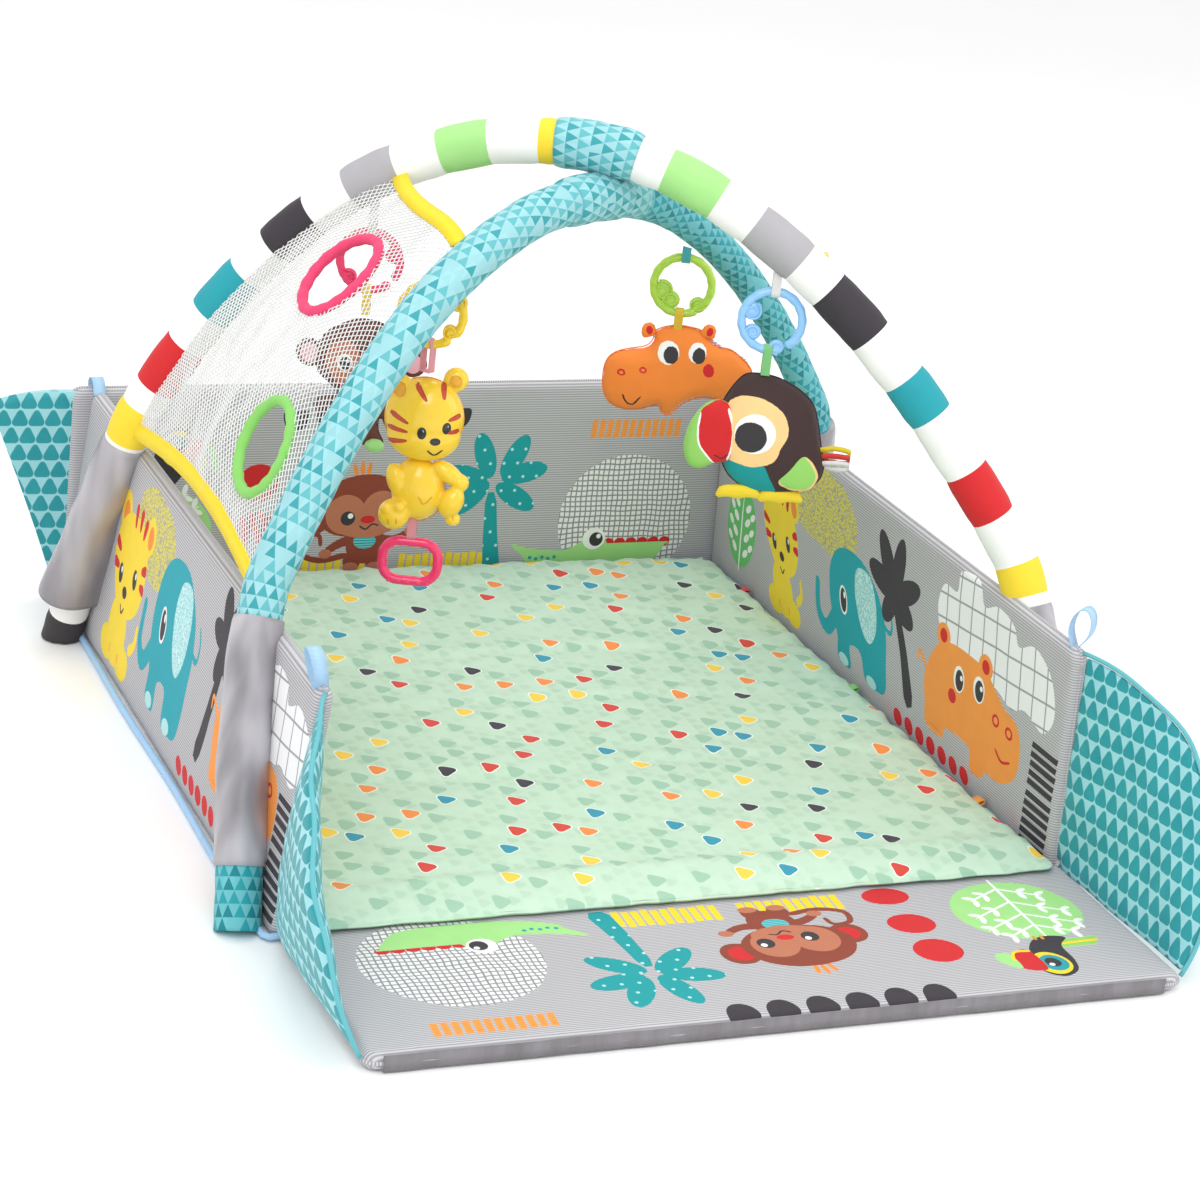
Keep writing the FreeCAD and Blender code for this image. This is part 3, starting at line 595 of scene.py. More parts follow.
def frames_along(points, closed=False):
    """Tangent, side and upward directions that do not twist along a line."""
    count = len(points)
    tangents = []
    for i in range(count):
        a = points[i - 1] if (i or closed) else points[0]
        b = points[(i + 1) % count] if (i < count - 1 or closed) else points[-1]
        tangents.append((b - a).normalized())
    start = UP if abs(tangents[0].z) < 0.9 else Vector((0, -1, 0))
    side = tangents[0].cross(start).normalized()
    out = []
    for tangent in tangents:
        side = (side - tangent * side.dot(tangent)).normalized()
        out.append((tangent, side, side.cross(tangent)))
    return out


def tube_mesh(points, radius, sides=20, closed=False):
    """Vertices, faces and metre UVs of a bar along points.

    radius is a number or a function of (length along, angle).
    """
    frames = frames_along(points, closed)
    size_at = radius if callable(radius) else lambda run, angle: radius
    size = size_at(0, 0)
    verts, uvs, faces = [], [], []
    run = 0.0
    columns = sides + 1
    for i, (point, (_, side, upward)) in enumerate(zip(points, frames)):
        if i:
            run += (point - points[i - 1]).length
        for k in range(columns):
            angle = 2 * math.pi * k / sides
            r = size_at(run, angle)
            verts.append(point + side * (math.cos(angle) * r)
                         + upward * (math.sin(angle) * r))
            uvs.append((2 * math.pi * size * k / sides, run))
    rings = len(points)
    for i in range(rings if closed else rings - 1):
        j = (i + 1) % rings
        for k in range(sides):
            faces.append((i * columns + k, i * columns + k + 1,
                          j * columns + k + 1, j * columns + k))
    if not closed:
        for ring, turn in ((0, -1), (rings - 1, 1)):
            base = ring * columns
            hub = len(verts)
            verts.append(Vector(points[ring]))
            uvs.append((0, 0))
            for k in range(sides):
                pair = (base + k, base + k + 1)
                faces.append((hub, *pair[::turn]))
    return verts, faces, uvs


def merged(parts):
    """Several (verts, faces, uvs) lists as one."""
    verts, faces, uvs, counts = [], [], [], []
    for part_verts, part_faces, part_uvs in parts:
        start = len(verts)
        verts += list(part_verts)
        uvs += list(part_uvs)
        faces += [tuple(i + start for i in face) for face in part_faces]
        counts.append(len(part_faces))
    return verts, faces, uvs, counts


def weld(item, distance=1e-5):
    """Joins the doubled seam vertices of a wrapped grid."""
    work = bmesh.new()
    work.from_mesh(item.data)
    bmesh.ops.remove_doubles(work, verts=work.verts, dist=distance)
    bmesh.ops.recalc_face_normals(work, faces=work.faces)
    work.to_mesh(item.data)
    work.free()
    item.data.update()
    return item


def soften(item):
    """One level of rounding, on screen and in the render."""
    modifier = item.modifiers.new("smooth", "SUBSURF")
    modifier.levels = modifier.render_levels = 1


# -------------------------------------------------------- printed sheets

def oval(x, y, rx, ry=None, turn=0.0, count=26):
    ry = rx if ry is None else ry
    c, s = math.cos(math.radians(turn)), math.sin(math.radians(turn))
    out = []
    for k in range(count):
        a = 2 * math.pi * k / count
        px, py = rx * math.cos(a), ry * math.sin(a)
        out.append((x + px * c - py * s, y + px * s + py * c))
    return out


def blob(*points, per=5):
    """A closed smooth outline through given points."""
    return [(p.x, p.y) for p in catmull([(x, y, 0) for x, y in points], per, True)]


def bar(x, y, w, h, slant=0.0):
    """An upright bar from its lower left corner."""
    return [(x, y), (x + w, y), (x + w + slant, y + h), (x + slant, y + h)]


def stroke(points, wide, end=None, per=5):
    """A brush stroke along a smooth open line, tapering from wide to end."""
    end = wide if end is None else end
    line = catmull([(x, y, 0) for x, y in points], per)
    left, right = [], []
    for i, point in enumerate(line):
        ahead = line[min(i + 1, len(line) - 1)] - line[max(i - 1, 0)]
        normal = Vector((-ahead.y, ahead.x, 0)).normalized()
        half = (wide + (end - wide) * i / (len(line) - 1)) / 2
        if i in (0, len(line) - 1):
            half *= 0.55
        left.append(point + normal * half)
        right.append(point - normal * half)
    return [(p.x, p.y) for p in left + right[::-1]]


def moved(shapes, x=0.0, y=0.0, wide=1.0, tall=1.0, lean=0.0):
    """A figure's shapes scaled, leaned about their foot line and put in place."""
    return [([(x + px * wide + lean * py * tall, y + py * tall) for px, py in points],
             colour) for points, colour in shapes]


def rounded_rectangle(w, h, r, steps=5, inset=0.0):
    """Corner-rounded outline about the centre, anticlockwise."""
    w, h, r = w / 2 - inset, h / 2 - inset, max(r - inset, 0.3)
    out = []
    for cx, cy, start in ((w - r, h - r, 0), (r - w, h - r, 90),
                          (r - w, r - h, 180), (w - r, r - h, 270)):
        for k in range(steps + 1):
            a = math.radians(start + 90 * k / steps)
            out.append((cx + r * math.cos(a), cy + r * math.sin(a)))
    return out


def even_line(outline, step):
    """The same closed outline with long runs divided."""
    out = []
    for a, b in zip(outline, outline[1:] + outline[:1]):
        length = math.hypot(b[0] - a[0], b[1] - a[1])
        parts = max(1, round(length / step))
        out += [(a[0] + (b[0] - a[0]) * k / parts, a[1] + (b[1] - a[1]) * k / parts)
                for k in range(parts)]
    return out


def inside_mask(points, outline):
    """Which of an array of points are inside a closed outline."""
    x, y = points[:, 0], points[:, 1]
    result = np.zeros(len(points), bool)
    ring = np.array(outline)
    for (x0, y0), (x1, y1) in zip(ring, np.roll(ring, -1, axis=0)):
        crosses = (y0 > y) != (y1 > y)
        if crosses.any():
            at = x0 + (y - y0) / (y1 - y0 + 1e-12) * (x1 - x0)
            result ^= crosses & (x < at)
    return result


def anticlockwise(loop):
    area = sum(a[0] * b[1] - b[0] * a[1] for a, b in zip(loop, loop[1:] + loop[:1]))
    return list(loop) if area > 0 else list(loop)[::-1]


def cut_sheet(outline, shapes, spacing, rings=()):
    """Triangles of a flat sheet, each with the ink printed on it.

    Returns 2-D points, triangles and ink names.
    """
    loops = [list(outline)] + [list(ring) for ring in rings]
    loops += [points for points, _ in shapes]
    coords, faces = [], []
    for loop in map(anticlockwise, loops):
        start = len(coords)
        coords += [Vector((x, y)) for x, y in loop]
        faces.append(list(range(start, len(coords))))
    xs, ys = [p[0] for p in outline], [p[1] for p in outline]
    nx = max(2, round((max(xs) - min(xs)) / spacing))
    ny = max(2, round((max(ys) - min(ys)) / spacing))
    gx = min(xs) + (np.arange(nx) + 0.5) * (max(xs) - min(xs)) / nx
    gy = min(ys) + (np.arange(ny) + 0.5) * (max(ys) - min(ys)) / ny
    lattice = np.array([(x + (spacing / 4 if row % 2 else -spacing / 4), y)
                        for row, y in enumerate(gy) for x in gx])
    shrunk = rings[-1] if rings else outline
    coords += [Vector(p) for p in lattice[inside_mask(lattice, shrunk)]]
    made = geometry.delaunay_2d_cdt(coords, [], faces, 1, 1e-4, True)
    points, triangles, origins = made[0], made[2], made[5]
    first_shape = 1 + len(rings)
    kept, inks = [], []
    for triangle, origin in zip(triangles, origins):
        if 0 not in origin:
            continue
        top = max(origin)
        kept.append(tuple(triangle))
        inks.append(shapes[top - first_shape][1] if top >= first_shape else None)
    return points, kept, inks


def edge_distance(points, outline):
    """How far each point is from the outline."""
    p = np.array([(q[0], q[1]) for q in points])
    best = np.full(len(p), 1e9)
    ring = np.array(outline)
    for a, b in zip(ring, np.roll(ring, -1, axis=0)):
        ab = b - a
        t = np.clip(((p - a) @ ab) / max(ab @ ab, 1e-12), 0, 1)
        best = np.minimum(best, np.hypot(*(p - a - t[:, None] * ab).T))
    return best


def inked(names, ground):
    """Material list and index per face for ink names; None is the ground."""
    special = {"hatch": white_hatch, "grid": cloud_grid, "scribble": yellow_scribble,
               "dotted": dotted_teal, "speckle": ear_speckle}
    order, picks = [None], []
    for name in names:
        if name not in order:
            order.append(name)
        picks.append(order.index(name))
    materials = []
    for name in order:
        if name is None:
            materials.append(ground)
        elif name in special:
            materials.append(once("print_" + name, special[name]))
        elif name == "belly":
            materials.append(chalk_stripes("print_belly", (0.0, 0.33, 0.36),
                                           (0.20, 0.60, 0.62), 0.0032))
        else:
            materials.append(ink(name))
    return materials, picks


def two_faces(outline, front, back, spacing, ground, point, rings=()):
    """The front and back sheets of a sewn piece, each with its own print.

    point(x, y, side, edge) places a point that is edge away from the seam.
    """
    parts, picks, materials = [], [], []
    for side, shapes in ((1, front), (-1, back)):
        points, triangles, inks = cut_sheet(outline, shapes, spacing, rings)
        away = edge_distance(points, outline)
        verts = [point(x, y, side, edge) for (x, y), edge in zip(points, away)]
        parts.append((verts, triangles, [(x * MM, y * MM) for x, y in points]))
        these, chosen = inked(inks, ground)
        picks += [len(materials) + index for index in chosen]
        materials += these
    return parts, picks, materials


# -------------------------------------------------------------- foam walls

def ripple(x, y, z, scale, seed):
    """Smooth noise from -1 to 1 in millimetre coordinates."""
    return noise.noise(Vector((x / scale + seed, y / scale, z / scale)))


PANEL_CORNER = 13


def foam_panel(name, body, nodes, size, thick, front, back, place, seed, slot,
               ground=None, edge=8.5, crown=1.2):
    """A foam board in a printed cover, with a corded seam round its edge.

    place(u, v, w) gives a point from the picture's own coordinates.
    """
    width, height = size
    ground = ground or once("wall_grey", striped_grey)

    def shifted(loop):
        return [(x, y + height / 2) for x, y in loop]

    def ring_at(inset):
        shape = rounded_rectangle(width, height, PANEL_CORNER, inset=inset)
        return shifted(even_line(shape, 12))

    def point(u, v, side, d):
        t = min(d / edge, 1.0)
        lift = thick / 2 * math.sqrt(max(0.0, 1 - (1 - t) ** 2.2))
        soft = min(1.0, d / 26)
        lift += soft * (crown + 0.9 * ripple(u, v, side * 9, 62, seed))
        lift += min(1.0, d / 6) * (0.35 * ripple(u * 0.5, v, side * 5, 17, seed + 3))
        return place(side * u, v, side * lift) * MM

    outline = ring_at(0.0)
    rings = [ring_at(inset) for inset in (0.8, 2.4, 5.0, 8.5, 14)]
    parts, picks, materials = two_faces(outline, front, back, 16, ground, point, rings)
    cord = [place(u, v, 0) * MM for u, v in outline]
    parts.append(tube_mesh(cord, 1.9 * MM, 8, closed=True))
    verts, faces, uvs, counts = merged(parts)
    materials.append(ground)
    picks += [len(materials) - 1] * counts[-1]
    item = piece(name, verts, faces, materials, picks, uvs)
    weld(item, 2e-6)
    settle(item, body, slot, *nodes)
    return item


# Figures are drawn in millimetres, x to the right, y up from their feet.

def tiger_figure():
    return [
        (oval(-38, 20, 31, 20), "lemon"), (oval(40, 20, 33, 20), "lemon"),
        (oval(0, 45, 44, 42), "yellow"), (oval(-36, 20, 28, 17), "yellow"),
        (oval(40, 20, 30, 17), "yellow"),
        (stroke([(62, 40), (84, 55), (88, 80)], 15, 9), "yellow"),
        (oval(-40, 173, 22, 27, 18), "yellow"), (oval(82, 182, 21, 23, -18), "yellow"),
        (oval(-40, 171, 13, 17, 18), "orange"), (oval(82, 180, 12, 14, -18), "orange"),
        (blob((-62, 120), (-56, 155), (-25, 178), (20, 184), (62, 176), (84, 150),
              (86, 118), (66, 84), (20, 66), (-30, 76)), "yellow"),
        (stroke([(6, 197), (10, 170)], 15, 8), "red"),
        (stroke([(32, 198), (32, 172)], 15, 8), "red"),
        (stroke([(58, 193), (50, 168)], 15, 8), "red"),
        (stroke([(-62, 138), (-36, 130)], 15, 8), "red"),
        (stroke([(-60, 112), (-34, 112)], 15, 8), "red"),
        (stroke([(86, 142), (64, 136)], 15, 8), "red"),
        (stroke([(86, 118), (64, 118)], 15, 8), "red"),
        (oval(-23, 107, 9, 12), "black"), (oval(40, 118, 9, 12), "black"),
        (oval(-20, 112, 3, 4), "white"), (oval(43, 123, 3, 4), "white"),
        (oval(6, 92, 10, 7), "dark_brown"),
        (stroke([(-4, 76), (5, 68), (15, 76)], 3.6, 3), "dark_brown"),
        (stroke([(-20, 24), (-20, 12)], 3.5, 3), "orange"),
        (stroke([(22, 24), (22, 12)], 3.5, 3), "orange"),
    ]


def elephant_figure():
    return [
        (stroke([(62, 82), (84, 78), (90, 92), (80, 105)], 6, 3), "aqua"),
        (blob((-62, 6), (-30, 4), (-28, 28), (0, 30), (8, 6), (40, 4), (62, 12),
              (68, 45), (72, 78), (60, 106), (25, 128), (-15, 131), (-48, 122),
              (-68, 104), (-77, 75), (-72, 46), (-62, 28)), "aqua"),
        (stroke([(-64, 48), (-90, 28), (-112, 40), (-110, 74)], 19, 11, 8), "aqua"),
        (oval(-48, 8, 13, 6), "pale_teal"), (oval(24, 8, 13, 6), "pale_teal"),
        (blob((4, 118), (-6, 90), (6, 58), (26, 48), (44, 66), (50, 96), (38, 120)),
         "speckle"),
        (oval(-39, 72, 10.5, 15), "white"), (oval(-39, 72, 8, 12.5), "black"),
        (oval(-36, 78, 2.6, 3.6), "white"),
    ]


def dark_palm(foot, crown, tips):
    """A dark palm: its trunk and six broad petals from its crown."""
    middle = ((foot[0] + crown[0]) / 2 + 3, (foot[1] + crown[1]) / 2)
    shapes = [(stroke([foot, middle, crown], 21, 11), "charcoal")]
    for x, y in tips:
        long = math.hypot(x, y) / 2 + 5
        shapes.append((oval(crown[0] + x / 2, crown[1] + y / 2, long, 14.5,
                            math.degrees(math.atan2(y, x))), "charcoal"))
    return shapes


def cloud():
    rim = blob((0, 10), (-8, 45), (8, 78), (36, 80), (44, 108), (84, 112), (96, 88),
               (126, 100), (158, 92), (168, 72), (200, 86), (228, 74), (240, 48),
               (236, 14), (214, -8), (180, 2), (150, -10), (116, 0), (84, -12),
               (50, 0), (22, -8))
    return [(rim, "grid")]


def side_hippo():
    return [
        (stroke([(-4, 68), (-22, 80), (-24, 66)], 6, 3), "pale_orange"),
        (blob((0, 30), (6, 6), (44, 4), (52, 18), (104, 20), (112, -2), (138, -2),
              (146, 8), (178, 10), (206, 28), (212, 62), (200, 86), (172, 92),
              (150, 104), (120, 118), (62, 118), (26, 108), (4, 84), (-6, 56)),
         "pale_orange"),
        (oval(30, 118, 15, 14), "pale_orange"), (oval(126, 120, 15, 14), "pale_orange"),
        (oval(30, 118, 8, 8), "red"), (oval(126, 120, 8, 8), "red"),
        (oval(72, 84, 12, 15), "white"), (oval(116, 90, 12, 15), "white"),
        (oval(73, 83, 9, 12), "black"), (oval(117, 89, 9, 12), "black"),
        (oval(77, 87, 3, 3), "white"), (oval(121, 93, 3, 3), "white"),
        (oval(60, 60, 9, 8), "red"),
        (oval(156, 72, 8, 7), "red"), (oval(156, 72, 4.6, 4), "pale_orange"),
        (oval(186, 70, 8, 7), "red"), (oval(186, 70, 4.6, 4), "pale_orange"),
        (stroke([(160, 42), (176, 34), (194, 40)], 3.4, 3), "red"),
        (stroke([(14, 10), (40, 9)], 3, 3), "orange"),
    ]


def scribble_patch():
    return [(blob((-95, -45), (-112, -8), (-98, 32), (-46, 48), (0, 44), (46, 36),
                  (78, 2), (64, -36), (18, -56), (-40, -52)), "scribble")]


def leafy_tree():
    shapes = [(oval(0, 0, 44, 58), "green"),
              (stroke([(0, -64), (0, 40)], 4, 3), "white")]
    for row, y in enumerate((-34, -12, 10, 30)):
        for side in (-1, 1):
            shapes.append((oval(side * 17, y, 9, 5, side * 38), "white"))
            if row < 3:
                shapes.append((oval(side * 31, y + 12, 8, 4.6, side * 38), "white"))
    return shapes


def bar_block(rows, wide, tall, spacing):
    """Stacked dark strokes with a wider gap half way up."""
    shapes = []
    for row in range(rows):
        y = row * spacing + (3 if row >= rows / 2 else 0)
        shapes.append((bar(0.4 * (row % 3), y, wide, tall, 1), "charcoal"))
    return shapes


def oval_row(count, spacing):
    return [(oval(k * spacing, 0, 11, 8.5, -32), "red") for k in range(count)]


def monkey_picture():
    return [
        (stroke([(-74, 66), (-108, 60), (-133, 70), (-130, 90), (-112, 92), (-108, 78)],
                8, 5), "brown"),
        (oval(-118, 112, 19), "brown"), (oval(5, 133, 20), "brown"),
        (oval(-118, 112, 12), "red"), (oval(4, 133, 13), "red"),
        (stroke([(-68, 86), (-86, 80), (-102, 70)], 13, 9), "brown"),
        (stroke([(-36, 84), (-16, 84), (0, 92)], 13, 9), "brown"),
        (oval(-102, 68, 8, 6), "tan"), (oval(3, 94, 8, 6), "tan"),
        (oval(-68, 58, 11, 14), "brown"), (oval(-40, 58, 11, 14), "brown"),
        (oval(-69, 50, 10, 6), "tan"), (oval(-39, 50, 10, 6), "tan"),
        (oval(-52, 78, 25, 24), "brown"), (oval(-54, 83, 14, 10), "belly"),
        (blob((-118, 118), (-110, 145), (-85, 162), (-48, 167), (-16, 155), (-2, 132),
              (-6, 110), (-30, 92), (-62, 88), (-98, 94)), "brown"),
        (oval(-80, 117, 25, 25, 8), "tan"), (oval(-36, 122, 24, 24, -8), "tan"),
        (oval(-56, 104, 37, 17), "tan"),
        (oval(-77, 112, 9), "black"), (oval(-28, 118, 9), "black"),
        (oval(-74, 115, 3.4), "white"), (oval(-25, 121, 3.4), "white"),
        (oval(-52, 110, 9, 5), "red"),
        (stroke([(-62, 102), (-54, 98), (-46, 104), (-38, 102)], 2.4, 2), "black"),
        (stroke([(-70, 166), (-74, 180)], 6, 4), "orange"),
        (stroke([(-63, 167), (-64, 184)], 6, 4), "orange"),
        (stroke([(-56, 167), (-54, 182)], 6, 4), "orange"),
    ]


def yellow_bars():
    return [(bar(x, 33 + (x // 10 % 3), 7.5, 30, 1.5), "lemon")
            for x in range(-140, 92, 10) if not -34 < x < -18]


def dotted_palm():
    shapes = [(stroke([(112, 30), (106, 78), (101, 140)], 24, 14), "dotted")]
    for x, y, turn in ((88, 190, 108), (130, 188, 62), (145, 165, 12), (135, 132, -32),
                       (72, 132, 42), (62, 163, 168)):
        shapes.append((oval(100 + (x - 100) * 0.92, 153 + (y - 153) * 0.92, 30, 13, turn),
                       "dotted"))
    return shapes


def crocodile():
    scallops = [(oval(262 + 15 * k, 70, 7.5, 6, 0, 12), "red") for k in range(6)]
    return [(oval(280, 100, 88, 84), "hatch")] + scallops + [
        (blob((134, 72), (160, 66), (200, 62), (222, 70), (238, 82), (256, 76),
              (264, 68), (300, 68), (336, 68), (330, 52), (310, 36), (260, 31),
              (205, 33), (160, 44), (152, 54)), "leaf"),
        (bar(258, 66, 84, 3), "leaf"),
        (oval(242, 76, 15, 14), "white"), (oval(245, 75, 9, 9), "black"),
        (oval(248, 79, 3), "white")] + [
        (oval(160 + 8 * k, 54 - 2 * (k % 2), 2.4, 2.4, 0, 8), "aqua") for k in range(5)]


def orange_bars():
    return [(bar(222 + 10 * k, 206, 7, 23, 2), "pale_orange") for k in range(12)]


def round_tree():
    shapes = [(oval(-310, 97, 68, 60), "leaf"),
              (stroke([(-312, 30), (-312, 160)], 4, 3), "white")]
    for y, reach in ((50, 40), (78, 52), (104, 52), (128, 38)):
        for side in (-1, 1):
            end = (-312 + side * reach, y + reach * 0.55)
            shapes.append((stroke([(-312, y), end], 3.4, 2.4), "white"))
            for share in (0.5, 0.9):
                x = -312 + side * reach * share
                base = y + reach * 0.55 * share
                shapes.append((oval(x, base + 7, 7, 3.2, 90 - side * 14), "white"))
                shapes.append((oval(x + side * 4, base - 4, 6.5, 3, side * -20), "white"))
    return shapes


def bird_picture():
    return [
        (bar(-362, 160, 40, 16, 6), "lime"), (bar(-362, 166, 40, 4, 3), "lemon"),
        (blob((-330, 158), (-318, 172), (-316, 200), (-308, 222), (-290, 230),
              (-274, 220), (-272, 196), (-282, 172), (-296, 156), (-314, 152)),
         "charcoal"),
        (oval(-290, 204, 19, 22), "lemon"), (oval(-292, 204, 14, 16), "sky_teal"),
        (oval(-291, 203, 8, 9), "black"), (oval(-288, 207, 3), "white"),
        (blob((-280, 214), (-258, 212), (-254, 196), (-258, 180), (-278, 176)), "red"),
        (blob((-256, 208), (-246, 204), (-238, 190), (-242, 178), (-256, 180)), "leaf"),
        (stroke([(-280, 178), (-262, 178), (-254, 194)], 4, 3), "lemon"),
        (stroke([(-306, 158), (-306, 150)], 4, 3), "orange"),
        (stroke([(-298, 158), (-298, 150)], 4, 3), "orange"),
    ]


def half_domes():
    shapes = []
    for k in range(6):
        x = -150 + 40 * k
        shapes.append((blob((x - 15, 246), (x - 14, 232), (x - 6, 223), (x + 6, 223),
                            (x + 14, 232), (x + 15, 246), (x, 247)), "charcoal"))
    return shapes


def end_picture(drop=0.0):
    """The picture of the two end panels, from the panel's own hinge."""
    shapes = (yellow_bars() + monkey_picture() + dotted_palm() + crocodile()
              + orange_bars() + round_tree() + bird_picture() + half_domes()
              + [(oval(-190, y, 25, ry), "red")
                 for y, ry in ((160, 23), (104, 20), (47, 17))])
    out = []
    for points, colour in moved(shapes, 0, -drop):
        if max(y for _, y in points) > 8:
            out.append(([(x, max(y, 3.0 + 0.001 * (x + 420))) for x, y in points],
                        colour))
    return out


def inner_side_picture():
    """A side wall's picture, as its inner face shows it."""
    return (moved(scribble_patch(), -118, 196, 0.88, 0.92, -0.25)
            + moved(tiger_figure(), -205, 26, 0.62, 0.76, -0.42)
            + moved(cloud(), 168, 148, 1.02, 0.86, -0.25)
            + moved(elephant_figure(), 0, 32, 0.97, 1.04, -0.36)
            + dark_palm((113, 50), (52, 158), ((-42, 58), (6, 64), (52, 26), (44, -18),
                                               (-16, -30), (-60, 16)))
            + moved(side_hippo(), 146, 44, 0.98, 0.98, -0.05)
            + moved(oval_row(7, 26), 90, 29)
            + moved(bar_block(11, 50, 6.8, 10.3), 368, 14, lean=0.04)
            + moved(leafy_tree(), -345, 92, 0.9, 0.9))


def outer_side_picture():
    """The same picture, as the outer face shows it."""
    return (moved(scribble_patch(), -92, 196, 0.78, 0.9)
            + moved(tiger_figure(), -187, 14, 0.80, 0.96)
            + moved(cloud(), 210, 150, 0.92, 0.8)
            + moved(elephant_figure(), 6, 28, 0.98, 1.36)
            + dark_palm((134, 50), (172, 186), ((-18, 50), (22, 46), (42, 4), (24, -38),
                                                (-20, -40), (-42, 6)))
            + moved(side_hippo(), 182, 46, 0.95, 1.05)
            + moved(oval_row(6, 24), 92, 24)
            + moved(bar_block(11, 40, 7, 10.6), 384, 14)
            + moved(leafy_tree(), -345, 92, 0.9, 0.9))


WALL_HIGH, WALL_LONG, THICK = 248.0, 859.0, 17.6
SIDE_FOOT = 411
LEANS = {"left": 6.0, "right": 2.5}  # degrees, inwards from upright
BACK_WIDE, BACK_Y = 832, 442
FLAP_WIDE, FLAP_LONG, FLAP_Y, FLAP_Z = 820, 246, -433, 10


def side_wall(label, seed):
    """A side wall, its thickness centred on SIDE_FOOT at the bottom."""
    slope = math.tan(math.radians(LEANS[label]))
    outward = -1 if label == "left" else 1

    def place(u, v, w):
        return Vector((outward * (SIDE_FOOT - slope * v) - w, -u, 1 + v))

    faces = (inner_side_picture(), outer_side_picture())
    front, back = faces[::outward]
    foam_panel(f"{label}_wall_pad", "gym", (f"{label}_wall_cover", f"{label}_wall_board"),
               (WALL_LONG, WALL_HIGH), THICK, front, back, place, seed, "wall_cloth")


def flap_place(u, v, w):
    """The open flap lies flat, thinner where it meets the walls when closed."""
    margin = min(1.0, max(0.0, (abs(u) - 348) / 22))
    return Vector((-u, FLAP_Y - v, FLAP_Z + min(w, 12.5 - 3.6 * margin)))


def make_walls():
    side_wall("right", 1.0)
    side_wall("left", 5.0)
    foam_panel("back_wall_pad", "back_panel", ("back_panel_cover", "back_panel_board"),
               (BACK_WIDE, WALL_HIGH), THICK, end_picture(28), end_picture(4),
               lambda u, v, w: Vector((u, BACK_Y - w, 1 + v)), 11.0, "wall_cloth")
    foam_panel("front_flap_pad", "front_panel",
               ("front_panel_cover", "front_panel_board"), (FLAP_WIDE, FLAP_LONG), THICK,
               end_picture(2), end_picture(4), flap_place, 17.0, "wall_cloth")


# ------------------------------------------------- floor mat and its quilt

def make_base():
    blue = once("base_blue", lambda label: woven(Look(label, 0.7, 0.1),
                                                 (0.36, 0.60, 0.86)))
    foam_panel("base_pad", "gym", ("base_board",), (800, 858), 13.4, [], [],
               lambda u, v, w: Vector((u, v - 429, 7 + w)), 23.0, "base_cloth",
               ground=blue, edge=5.5, crown=-1.25)
    for side, label in ((-1, "left"), (1, "right")):
        route = [(side * 404, -428, 6), (side * 420, -430.5, 6), (side * 426, -423, 5.5)]
        route += [(side * (426 + 1.2 * math.sin(y / 61)), y, 5.2)
                  for y in range(-380, 400, 60)]
        route += [(side * 426, 424, 5.5), (side * 420, 431, 6), (side * 404, 429, 6)]
        line = resample(catmull(route, 6), 9)
        cord = tube_mesh([p * MM for p in line], 3.3 * MM, 12)
        settle(piece(f"base_piping_{label}", *cord[:2], [blue], uvs=cord[2]),
               "gym", "base_cloth")


def make_flap_edge():
    """The satin strip sewn along the flap's front edge."""
    points = [Vector((x, -680.4 + 0.7 * ripple(x, 0, 0, 26, 5),
                      10.4 + 0.8 * ripple(x, 0, 0, 60, 9))) * MM
              for x in range(-394, 396, 9)]
    strip = strap_mesh(points, Vector((0, 0, 1)), 15.5 * MM, 1.3 * MM)
    item = piece("front_flap_edge", *strip[:2], [once("edge_satin", dark_satin)],
                 uvs=strip[2])
    settle(item, "front_panel", "satin_sleeve")


def gathers(along, away, seed):
    """Sewn puckers that fade away from an edge, in millimetres."""
    wave = ripple(along, 0, 0, 21, seed) + 0.6 * ripple(along, 0, 0, 9, seed + 4)
    return wave * math.exp(-away / 34)


QUILT_WIDE, QUILT_LONG, QUILT_CORNER, QUILT_Y = 794, 884, 14, -20
QUILT_X_HALF, QUILT_Y_HALF = QUILT_WIDE / 2, QUILT_LONG / 2
QUILT_SEAM = 4.6


def quilt_outline():
    """The mat's edge, gathered most of all at the right and the back."""
    wavy = []
    for x, y in even_line(rounded_rectangle(QUILT_WIDE, QUILT_LONG, QUILT_CORNER), 9):
        along = math.atan2(y / QUILT_LONG, x / QUILT_WIDE) * 420
        loose = 1.0 + 0.9 * (x > 340) + 0.5 * (y > 400)
        pull = 2.6 * loose * (1 + ripple(along, 0, 0, 26, 3.3))
        wavy.append((x - pull * (x / QUILT_X_HALF) ** 9,
                     y - pull * (y / QUILT_Y_HALF) ** 9))
    return wavy


def under_quilt(y):
    """The height of what the mat lies on: the base, then the flap."""
    t = min(1.0, max(0.0, (-y - QUILT_Y - 384) / 18))
    return 14.8 + 5.8 * t * t * (3 - 2 * t)


